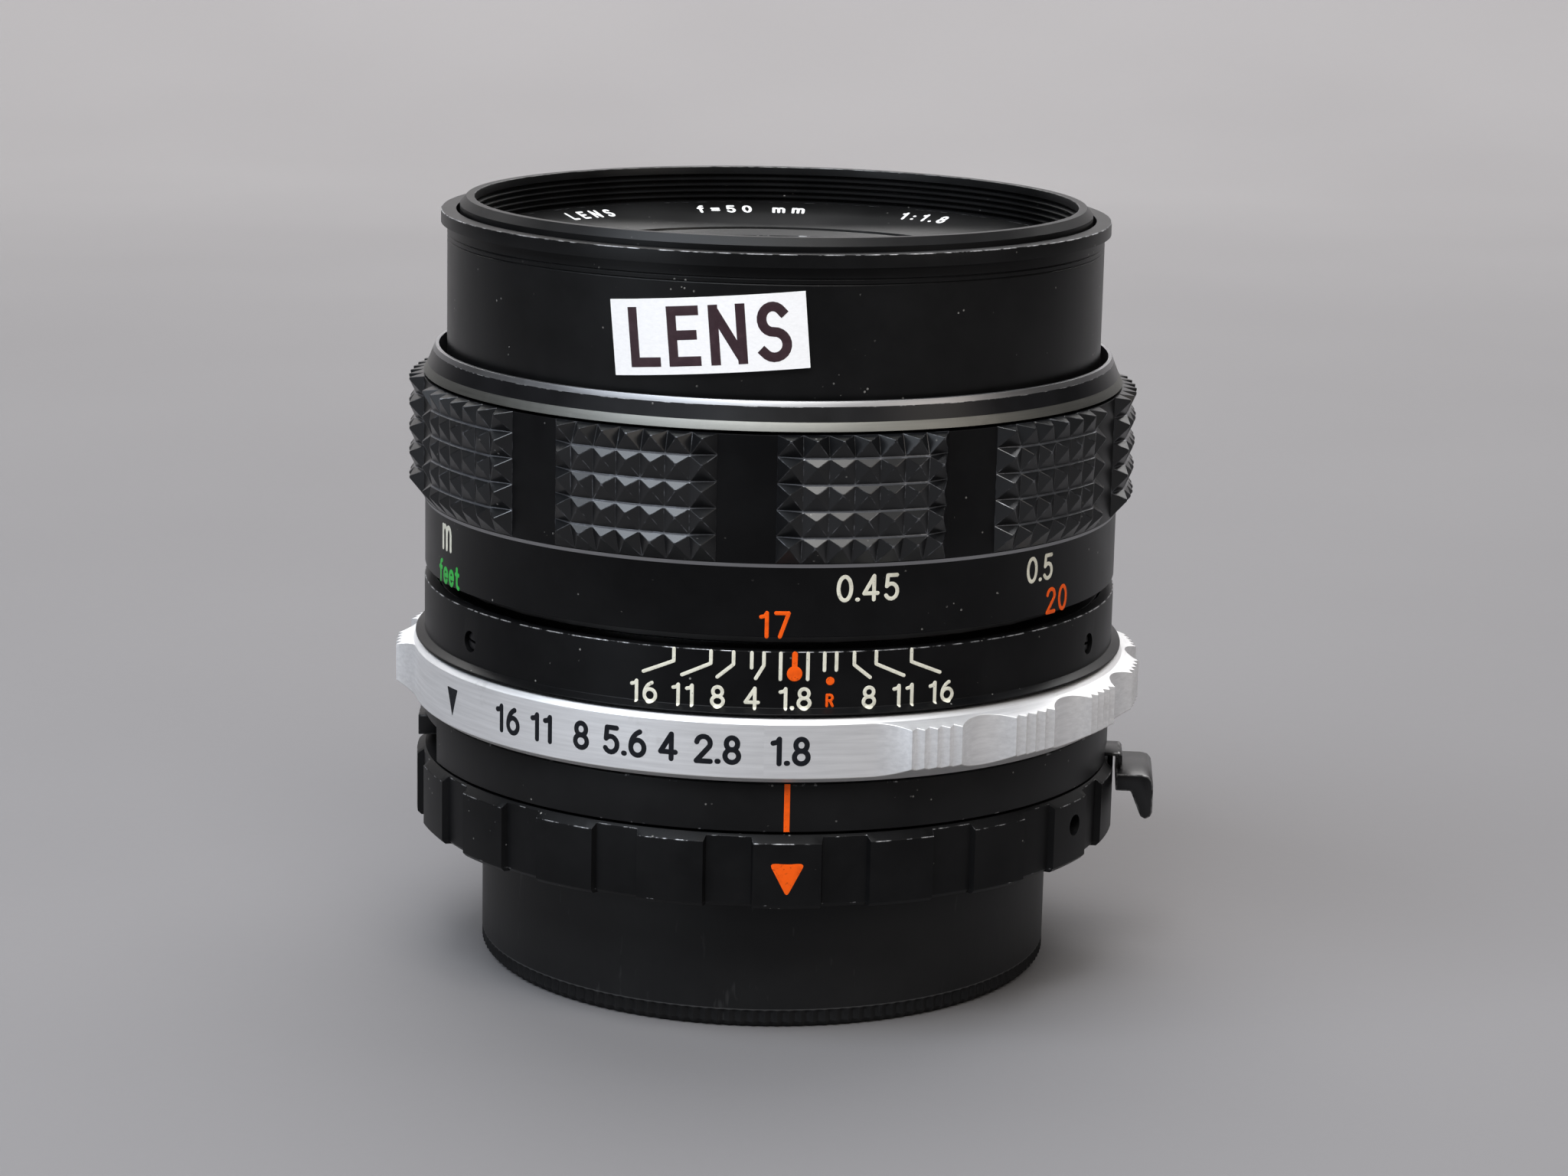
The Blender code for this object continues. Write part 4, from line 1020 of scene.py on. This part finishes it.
trim = turned("focus_trim", [
    (FOCUS_BORE, TRIM.top, 0.0, 1), (27.23, TRIM.top, 0.03, 1), (27.40, TRIM.top - 0.42, 0.02, 0),
    (27.84, TRIM.top - 1.5, 0.02, 2), (28.18, TRIM.bottom, 0.04, 2), (FOCUS_BORE, TRIM.bottom, 0.0, 1),
], ["bevel", "trim", "dull_trim"])
dress(trim, "focus_ring", "bright_aluminium", "focus_trim_ring")


# ---- front tube, filter ring and name ring

def groove(radius, height, depth=0.07, width=0.16):
    return [(radius, height + width / 2), (radius - depth, height), (radius, height - width / 2)]


def unit_ring(name, node, corners, key="inner", steps=SURFACE_STEPS):
    """A black ring of the optical unit, turned from its corners."""
    dress(turned(name, corners, [key], even(steps)), "optical_unit", "black_anodised", node)


SKIN = 26.3
TUBE_BORE = 24.9

unit_ring("front_tube", "front_barrel", [
    (25.6, TUBE.top), (TUBE.front, TUBE.top, 0.06), (TUBE.front, TUBE.top - 1.0), (SKIN, TUBE.top - 1.0),
    *groove(SKIN, 58.9), *groove(SKIN, 58.5), (SKIN, TUBE.bottom, 0.15), (TUBE_BORE, TUBE.bottom, 0.1),
    (TUBE_BORE, 50.3), (20.3, 50.3), (20.3, 51.6), (TUBE_BORE, 51.6), (TUBE_BORE, 56.2), (25.6, 56.2),
], "tube")

THREAD_INNER, THREAD_OUTER = 24.1, 24.42
thread = []
for turn_number in range(6):
    base = 58.2 + 0.5 * turn_number
    thread += [(THREAD_INNER, base + 0.05), (THREAD_OUTER, base + 0.25), (THREAD_OUTER, base + 0.29),
               (THREAD_INNER, base + 0.48)]

unit_ring("filter_rim", "filter_ring", [
    (24.15, RIM.top, 0.06), (24.8, RIM.top), (25.3, RIM.top - 0.6), (25.3, RIM.bottom, 0.1),
    (THREAD_INNER, RIM.bottom, 0.1), *thread,
], "rim")

NAME_INNER, NAME_EDGE, NAME_GROOVE = 17.4, 0.7, 0.16


def name_height(radius):
    """The height of the name ring's cone at a radius."""
    rise = NAME.top - NAME.bottom - NAME_EDGE
    return NAME.bottom + NAME_EDGE + (radius - NAME_INNER) * rise / (NAME.front - NAME_INNER)


unit_ring("name_plate", "name_ring", [
    (NAME_INNER, name_height(NAME_INNER), 0.08), (18.6, name_height(18.6)),
    (18.65, name_height(18.6) - NAME_GROOVE), (18.95, name_height(18.9) - NAME_GROOVE),
    (19.0, name_height(19.0)), (NAME.front, NAME.top, 0.06), (NAME.front, NAME.bottom + 0.6),
    (23.0, NAME.bottom), (NAME_INNER, NAME.bottom, 0.1),
])


# ---- paper label

LABEL_TURN, LABEL_LEAN, LABEL_HEIGHT, LABEL_RADIUS = -10.5, -5.0, 54.6, 26.52
# Half its width and half its height.
LABEL_REACH = (26.5 * radians(16.2), 2.85)
LABEL_COLUMNS, LABEL_ROWS = 36, 10
LABEL_TILT = Matrix.Rotation(radians(LABEL_TURN), 4, "Z") @ Matrix.Rotation(radians(LABEL_LEAN), 4, "Y")


def on_label(shift=0.0):
    """A map from (right, up, out) to a place on the tilted label, about a point of its middle line."""
    def wrap(right, up, out):
        spot = Vector(at(degrees((right + shift) / LABEL_RADIUS), LABEL_RADIUS + out, up))
        return tuple(LABEL_TILT @ spot + Vector((0.0, 0.0, LABEL_HEIGHT)))
    return wrap


def paper_label():
    """The sticker as a thin closed sheet."""
    wrap = on_label()
    points, faces = [], []
    for out in (0.0, -0.10):
        for i in range(LABEL_COLUMNS + 1):
            for j in range(LABEL_ROWS + 1):
                x, z = 2.0 * i / LABEL_COLUMNS - 1.0, 2.0 * j / LABEL_ROWS - 1.0
                points.append(wrap(x * LABEL_REACH[0], z * LABEL_REACH[1], out))
    stride = LABEL_ROWS + 1
    size = (LABEL_COLUMNS + 1) * stride
    for i in range(LABEL_COLUMNS):
        for j in range(LABEL_ROWS):
            a, b = i * stride + j, (i + 1) * stride + j
            faces.append((a, b, b + 1, a + 1))
            faces.append((size + a, size + a + 1, size + b + 1, size + b))
    rim = [i * stride for i in range(LABEL_COLUMNS + 1)]
    rim += [LABEL_COLUMNS * stride + j for j in range(1, stride)]
    rim += [i * stride + LABEL_ROWS for i in range(LABEL_COLUMNS - 1, -1, -1)]
    rim += [j for j in range(LABEL_ROWS - 1, 0, -1)]
    for a, b in zip(rim, rim[1:] + rim[:1]):
        faces.append((a, size + a, size + b, b))
    return piece_from("label_sticker", points, faces, ["paper"])


dress(paper_label(), "optical_unit", "label_paper", "paper_label")

lettering = Marks(square=True)
for character, shift in zip("LENS", (-4.9, -1.8, 1.55, 4.95)):
    lettering.write(character, 4.5, 0.72, on_label(shift), narrow=0.96)
lettering.done("label_lettering", "print", "optical_unit", "label_paper")


# ---- glasses and their cells

# Node: height of the front pole, thickness, front and rear radius, edge, front and rear clear radius.
GLASSES = {
    "front_lens": (57.0, 4.5, 33.6, 86.0, 16.4, 16.4, 16.4),
    "second_lens": (52.1, 5.5, 22.6, 45.0, 14.4, 14.4, 14.4),
    "third_lens": (46.4, 2.2, 45.0, 14.8, 14.4, 14.4, 12.2),
    "fourth_lens": (27.6, 1.8, -17.2, 60.0, 12.2, 10.8, 12.2),
    "fifth_lens": (25.6, 6.0, 60.0, -24.5, 12.2, 12.2, 12.2),
    "rear_lens": (19.3, 3.8, 110.0, -44.0, 13.0, 13.0, 13.0),
}
GLASS_RINGS = 16
GLASS_PLAY = 0.02


def dome(pole, radius, clear):
    """Points of a glass surface, from its pole on the axis out to its clear radius."""
    sign = 1 if radius > 0 else -1
    reaches = [clear * k / GLASS_RINGS for k in range(GLASS_RINGS + 1)]
    return [(reach, pole - sign * (abs(radius) - sqrt(radius ** 2 - reach ** 2))) for reach in reaches]


for node, (pole, thick, front, rear, edge, front_clear, rear_clear) in GLASSES.items():
    top = dome(pole, front, front_clear)
    bottom = dome(pole - thick, rear, rear_clear)[::-1]
    section = top[:-1] + [(front_clear - GLASS_PLAY, top[-1][1], 0.0, 1)]
    if front_clear < edge:
        section.append((edge - GLASS_PLAY, top[-1][1], 0.0, 1))
    if rear_clear < edge:
        section.append((edge - GLASS_PLAY, bottom[0][1], 0.0, 1))
    section += [(rear_clear - GLASS_PLAY, bottom[0][1]), *bottom[1:]]
    finish = "glass" if node in ("front_lens", "rear_lens") else "inner_glass"
    glass = turned(f"{node}_glass", section, [finish, "inner"], even(96))
    dress(glass, "optical_unit", "optical_glass", node)


def notched_ring(name, inner, outer, node):
    """A retaining ring with two slots for a spanner."""
    bottom, top = span(node)[1:]
    ring = turned(name, [
        (inner, top, 0.06), (outer, top, 0.06), (outer, bottom), (inner, bottom, 0.06),
    ], ["inner"], even(160))
    for side in (-1, 1):
        middle = side * (inner + outer) / 2
        drill(ring, [(0.42, (middle, -2.0, top), (middle, 2.0, top))])
    dress(ring, "optical_unit", "black_anodised", node)


unit_ring("front_cell_skin", "front_cell", [
    (16.7, 55.7, 0.1), (19.9, 55.7, 0.15), (19.9, 36.9, 0.1), (12.7, 36.9), (12.7, 37.6), (14.7, 37.6),
    (14.7, 50.9), (16.7, 50.9),
], steps=160)
notched_ring("front_keeper", 15.6, 16.4, "front_retaining_ring")
unit_ring("front_spacer_ring", "front_spacer", [
    (13.2, 50.6, 0.03), (14.4, 50.6, 0.03), (14.4, 47.2, 0.03), (13.2, 48.3, 0.03),
], steps=120)
unit_ring("rear_cell_skin", "rear_cell", [
    (11.0, 32.2, 0.1), (15.5, 32.2, 0.1), (15.5, 14.9, 0.15), (13.3, 14.9, 0.1), (13.3, 19.0), (12.5, 19.0),
    (12.5, 31.6), (11.0, 31.6),
], steps=160)
unit_ring("rear_spacer_ring", "rear_spacer", [
    (11.6, 22.4, 0.03), (12.2, 22.4, 0.03), (12.2, 19.2, 0.03), (11.6, 19.2, 0.03),
], steps=120)
notched_ring("rear_keeper", 12.0, 13.0, "rear_retaining_ring")
cover = span("blade_cover")
unit_ring("blade_cover_plate", "blade_cover", [
    (12.7, cover.top, 0.06), (18.7, cover.top, 0.06), (18.7, cover.bottom, 0.06), (12.7, cover.bottom, 0.06),
], "blade", 160)


# ---- coupling arm, and softened CAD nodes

# Outlines (radius, height) of the arm's two parts, each with half its width.
ARM_TAB = [(26.15, 25.0), (26.95, 25.0), (26.95, 17.6), (29.1, 17.6), (29.35, 17.35), (29.35, 15.8),
           (28.85, 15.8), (28.85, 17.3), (26.15, 17.3)]
ARM_PLATE = [(28.85, 16.3), (31.0, 16.3), (31.5, 16.18), (31.8, 15.85), (31.9, 15.4), (31.9, 13.2),
             (31.75, 12.8), (31.35, 12.6), (30.95, 12.8), (30.1, 14.9), (28.85, 14.9)]
ARM_PARTS = ((ARM_TAB, 2.0), (ARM_PLATE, 3.8))


def coupling_arm():
    """The tab inside the barrel, its step out under the lip, and the turned-down plate."""
    shape = bmesh.new()
    for outline, half in ARM_PARTS:
        sides = [[shape.verts.new((r * MM, y * MM, z * MM)) for r, z in outline] for y in (-half, half)]
        shape.faces.new(sides[0])
        shape.faces.new(sides[1][::-1])
        for k in range(len(outline)):
            shape.faces.new((sides[0][k - 1], sides[1][k - 1], sides[1][k], sides[0][k]))
    bmesh.ops.recalc_face_normals(shape, faces=shape.faces)
    shape.transform(Matrix.Rotation(radians(HOOK - 90.0), 4, "Z"))
    arm = from_shape("coupling_arm", shape)
    for key in ("hook", "worn_edge"):
        arm.data.materials.append(FINISH[key])
    soften_edges(arm, 0.12)
    applied(arm)
    crisp(arm.data)
    return arm


dress(coupling_arm(), "aperture_ring", "black_paint", "coupling_hook")

# Node, width of its softened edges, finish and finish of the edges.
SOFTENED = [
    ("preview_lever", 0.14, "hook", "worn_edge"),
    ("stop_down_lever", 0.1, "steel", "steel"),
    ("iris_cam_ring", 0.05, "steel", "steel"),
    ("guide_key", 0.1, "steel", "steel"),
    ("guide_key_screw", 0.06, "steel", "steel"),
    ("click_ball", 0.01, "steel", "steel"),
    ("click_spring", 0.01, "steel", "steel"),
    ("helicoid_sleeve", 0.08, "brass", "brass"),
    ("helicoid_carrier", 0.08, "carrier", "carrier"),
    ("diaphragm_housing", 0.05, "inner", "inner"),
]
SOFTENED += [(f"iris_blade_{number}", 0.02, "blade", "blade") for number in range(1, 7)]
for row in SOFTENED:
    soften(*row)


# ---- scales

def on_depth(azimuth, height):
    return around(azimuth, height, depth_radius)


DEGREES_PER_STOP = 1.16
# Stop and the azimuth at which its tick's slanting foot ends. A tick without a foot is straight.
TICKS = ((-16, -19.1), (-11, -12.9), (-8, -7.4), (-5.6, None), (-4, -1.5), (-1.8, None),
         (1.8, None), (4, None), (5.6, None), (8, 16.2), (11, 21.7), (16, 27.9))
SHORT_TICKS = {-5.6: -1.26, 4: -1.42, 5.6: -1.42}
DEPTH_FIGURES = ((-19.07, "16"), (-12.77, "11"), (-7.3, "8"), (-2.03, "4"), (4.54, "1.8"), (16.1, "8"),
                 (21.65, "11"), (28.21, "16"))
DEPTH_LINE = 0.27

depth_marks = Marks(step=0.07, rise=0.02)
for stop, foot_turn in TICKS:
    turn = DEPTH_INDEX + DEGREES_PER_STOP * stop
    if foot_turn is None:
        path = line(0, -0.12, 0, SHORT_TICKS.get(stop, -2.1))
    else:
        path = line(0, -0.12, 0, -1.05, radians(foot_turn - turn) * DEPTH_RADIUS, -2.07)
    depth_marks.stroke(path, DEPTH_LINE, on_depth(turn, DEPTH.top))
for azimuth, text in DEPTH_FIGURES:
    depth_marks.write(text, 1.75, DEPTH_LINE, on_depth(azimuth, 27.62), narrow=1.12)
depth_marks.done("depth_scale_marks", "cream", "barrel", "black_anodised")

index_marks = Marks(step=0.1, rise=0.015)
index_marks.stroke(line(0, -0.18, 0, -1.3), 0.42, on_depth(4.42, DEPTH.top))
index_marks.patch(bow(0.0, 0.0, 0.58, 0.58, 0, 345, 23), on_depth(4.42, 29.53))
index_marks.patch(bow(0.0, 0.0, 0.32, 0.32, 0, 345, 23), on_depth(9.93, 28.95))
index_marks.write("R", 1.05, 0.2, on_depth(9.92, 27.45))
index_marks.done("index_marks", "orange", "barrel", "black_anodised")

barrel_line = Marks(square=True)
barrel_line.stroke(line(0, 1.64, 0, -1.64), 0.44, around(INDEX, 19.11, BARREL.front))
barrel_line.done("barrel_index", "orange", "barrel", "black_paint")

triangle = Marks()
triangle.patch(blunt(line(-1.35, 1.12, 0, -1.5, 1.35, 1.12), 0.42), around(3.85, 13.8, BREECH.front))
triangle.done("breech_index", "orange", "breech_ring", "black_paint")

APERTURE_FIGURES = ((-43.04, "16"), (-36.0, "11"), (-28.6, "8"), (-21.3, "5.6"), (-14.4, "4"), (-6.9, "2.8"),
                    (3.9, "1.8"))


def on_aperture(azimuth):
    return around(azimuth, 23.77, PLAIN_RADIUS)


aperture_marks = Marks()
for azimuth, text in APERTURE_FIGURES:
    aperture_marks.write(text, 2.3, 0.40, on_aperture(azimuth), narrow=1.04)
aperture_marks.patch(blunt(line(-0.85, 0.95, 0, -1.3, 0.85, 0.95), 0.12), on_aperture(-57.75))
aperture_marks.done("aperture_figures", "ink", "aperture_ring", "bright_aluminium")

# Metres against the ring's turn from the depth index, in degrees. The last one stands for infinity.
METRES = ((0.6, 88.8), (0.8, 138.9), (1.0, 166.4), (1.2, 183.8), (1.5, 200.6), (2.0, 216.7), (3.0, 232.5),
          (5.0, 244.6), (10.0, 253.3), (1e6, 262.0))
FEET = (2, 2.5, 3, 4, 5, 7, 10, 30)
METRES_PER_FOOT = 0.3048
UPPER_LINE, LOWER_LINE = 36.0, 33.25
# Height of the distance figures and width of their lines.
DISTANCE_TEXT = (2.1, 0.3)


def scale_turn(distance):
    """The turn at which a distance stands, between the engraved metre figures."""
    near, far = next(pair for pair in zip(METRES, METRES[1:]) if distance <= pair[1][0])
    share = (1 / near[0] - 1 / distance) / (1 / near[0] - 1 / far[0])
    return near[1] + (far[1] - near[1]) * share


def on_band(azimuth, height):
    return around(azimuth, height, BAND_RADIUS)


metre_marks, inch_marks, feet_marks = Marks(), Marks(), Marks()
metre_marks.write("0.45", *DISTANCE_TEXT, on_band(15.6, UPPER_LINE))
metre_marks.write("0.5", *DISTANCE_TEXT, on_band(48.1, UPPER_LINE))
metre_marks.write("m", 2.9, 0.38, on_band(-64.4, 36.39), narrow=0.8)
for distance, turn in METRES:
    text = "~" if distance > 100.0 else f"{distance:g}"
    metre_marks.write(text, *DISTANCE_TEXT, on_band(DEPTH_INDEX + turn, UPPER_LINE))
metre_marks.done("metre_scale", "cream", "focus_ring", "black_anodised")
inch_marks.write("17", *DISTANCE_TEXT, on_band(1.2, LOWER_LINE))
inch_marks.write("20", *DISTANCE_TEXT, on_band(52.85, LOWER_LINE))
inch_marks.done("inch_scale", "orange", "focus_ring", "black_anodised")
feet_marks.write("feet", 1.9, 0.33, on_band(-63.65, 33.2), gap=0.3)
for feet in FEET:
    turn = scale_turn(feet * METRES_PER_FOOT)
    feet_marks.write(f"{feet:g}", *DISTANCE_TEXT, on_band(DEPTH_INDEX + turn, LOWER_LINE))
feet_marks.done("feet_scale", "green", "focus_ring", "black_anodised")

NAME_LINE = 22.35


def on_name_ring(azimuth):
    """A map onto the name ring, whose lettering reads clockwise from the front."""
    def wrap(right, up, out):
        radius = NAME_LINE + up
        return at(azimuth - degrees(right / NAME_LINE), radius, name_height(radius) + out)
    return wrap


name_marks = Marks()
for azimuth, text in ((225.0, "LENS"), (186.0, "f=50 mm"), (146.0, "1:1.8"), (114.0, "52")):
    name_marks.write(text, 1.35, 0.26, on_name_ring(azimuth), gap=0.75)
name_marks.done("name_ring_lettering", "white", "optical_unit", "black_anodised")


# ---- floor, light and camera

FLOOR_FRONT, FLOOR_BACK, FLOOR_HALF = -0.9, 0.55, 1.6
SWEEP_RADIUS, BACKDROP_TOP = 0.35, 1.6


def sweep():
    """A pale floor that curves up into its own backdrop, in metres."""
    outline = [(FLOOR_FRONT, 0.0), (FLOOR_BACK, 0.0)]
    for degree in range(6, 91, 6):
        turn = radians(degree)
        outline.append((FLOOR_BACK + SWEEP_RADIUS * sin(turn), SWEEP_RADIUS - SWEEP_RADIUS * cos(turn)))
    outline.append((FLOOR_BACK + SWEEP_RADIUS, BACKDROP_TOP))
    size = len(outline)
    mesh = bpy.data.meshes.new("floor")
    mesh.from_pydata([(x, y, z) for x in (-FLOOR_HALF, FLOOR_HALF) for y, z in outline], [],
                     [(i, size + i, size + i + 1, i + 1) for i in range(size - 1)])
    mesh.shade_smooth()
    m = Shading("floor")
    tone = m.mix(m.fit(m.noise(5.0), 0.3, 0.7), (0.150, 0.145, 0.148), (0.170, 0.165, 0.168))
    m.bump((m.noise(900.0), 0.00002))
    mesh.materials.append(m.finish(tone, 0.85))
    linked("floor", mesh)


def soft_light(name, place, size, watts, color, aim=(0.0, 0.0, 0.035)):
    light = bpy.data.lights.new(name, "AREA")
    light.shape = "RECTANGLE"
    light.size, light.size_y = size
    light.energy = watts
    light.color = color
    lamp = linked(name, light)
    lamp.location = place
    lamp.rotation_euler = (Vector(aim) - Vector(place)).to_track_quat("-Z", "Y").to_euler()


sweep()
soft_light("left", (-0.238, -0.264, 0.543), (0.50, 0.30), 3.9, (0.84, 0.91, 1.0))
soft_light("right", (0.048, -0.343, 0.549), (0.35, 0.25), 2.4, (1.0, 0.98, 0.95))
soft_light("window", (-0.46, -0.42, 0.16), (0.30, 0.30), 0.55, (0.84, 0.91, 1.0))
soft_light("fill", (0.50, -0.34, 0.32), (0.30, 0.30), 0.7, (1.0, 0.92, 0.84))
soft_light("top", (0.05, 0.20, 0.60), (0.5, 0.35), 2.6, (0.98, 0.98, 1.0))
soft_light("back", (0.0, 0.70, 0.60), (1.4, 0.4), 15.0, (1.0, 0.99, 0.98), (0.0, 0.95, 0.0))

scene = bpy.context.scene
scene.world = bpy.data.worlds.new("studio")
scene.world.use_nodes = True
background = scene.world.node_tree.nodes["Background"]
background.inputs["Color"].default_value = (0.86, 0.84, 0.82, 1.0)
background.inputs["Strength"].default_value = 0.08
scene.view_settings.view_transform = "Standard"

CAMERA_PLACE = (0.001235, -0.30104, 0.09623)
CAMERA_DOWN, CAMERA_ROLL = 12.425, 1.23

camera = linked("camera", bpy.data.cameras.new("camera"))
camera.data.sensor_width = 36.0
camera.data.lens = 86.38
camera.data.clip_start = 0.01
camera.matrix_world = (
    Matrix.Translation(CAMERA_PLACE)
    @ Matrix.Rotation(radians(90.0 - CAMERA_DOWN), 4, "X") @ Matrix.Rotation(radians(CAMERA_ROLL), 4, "Z")
)
scene.camera = camera
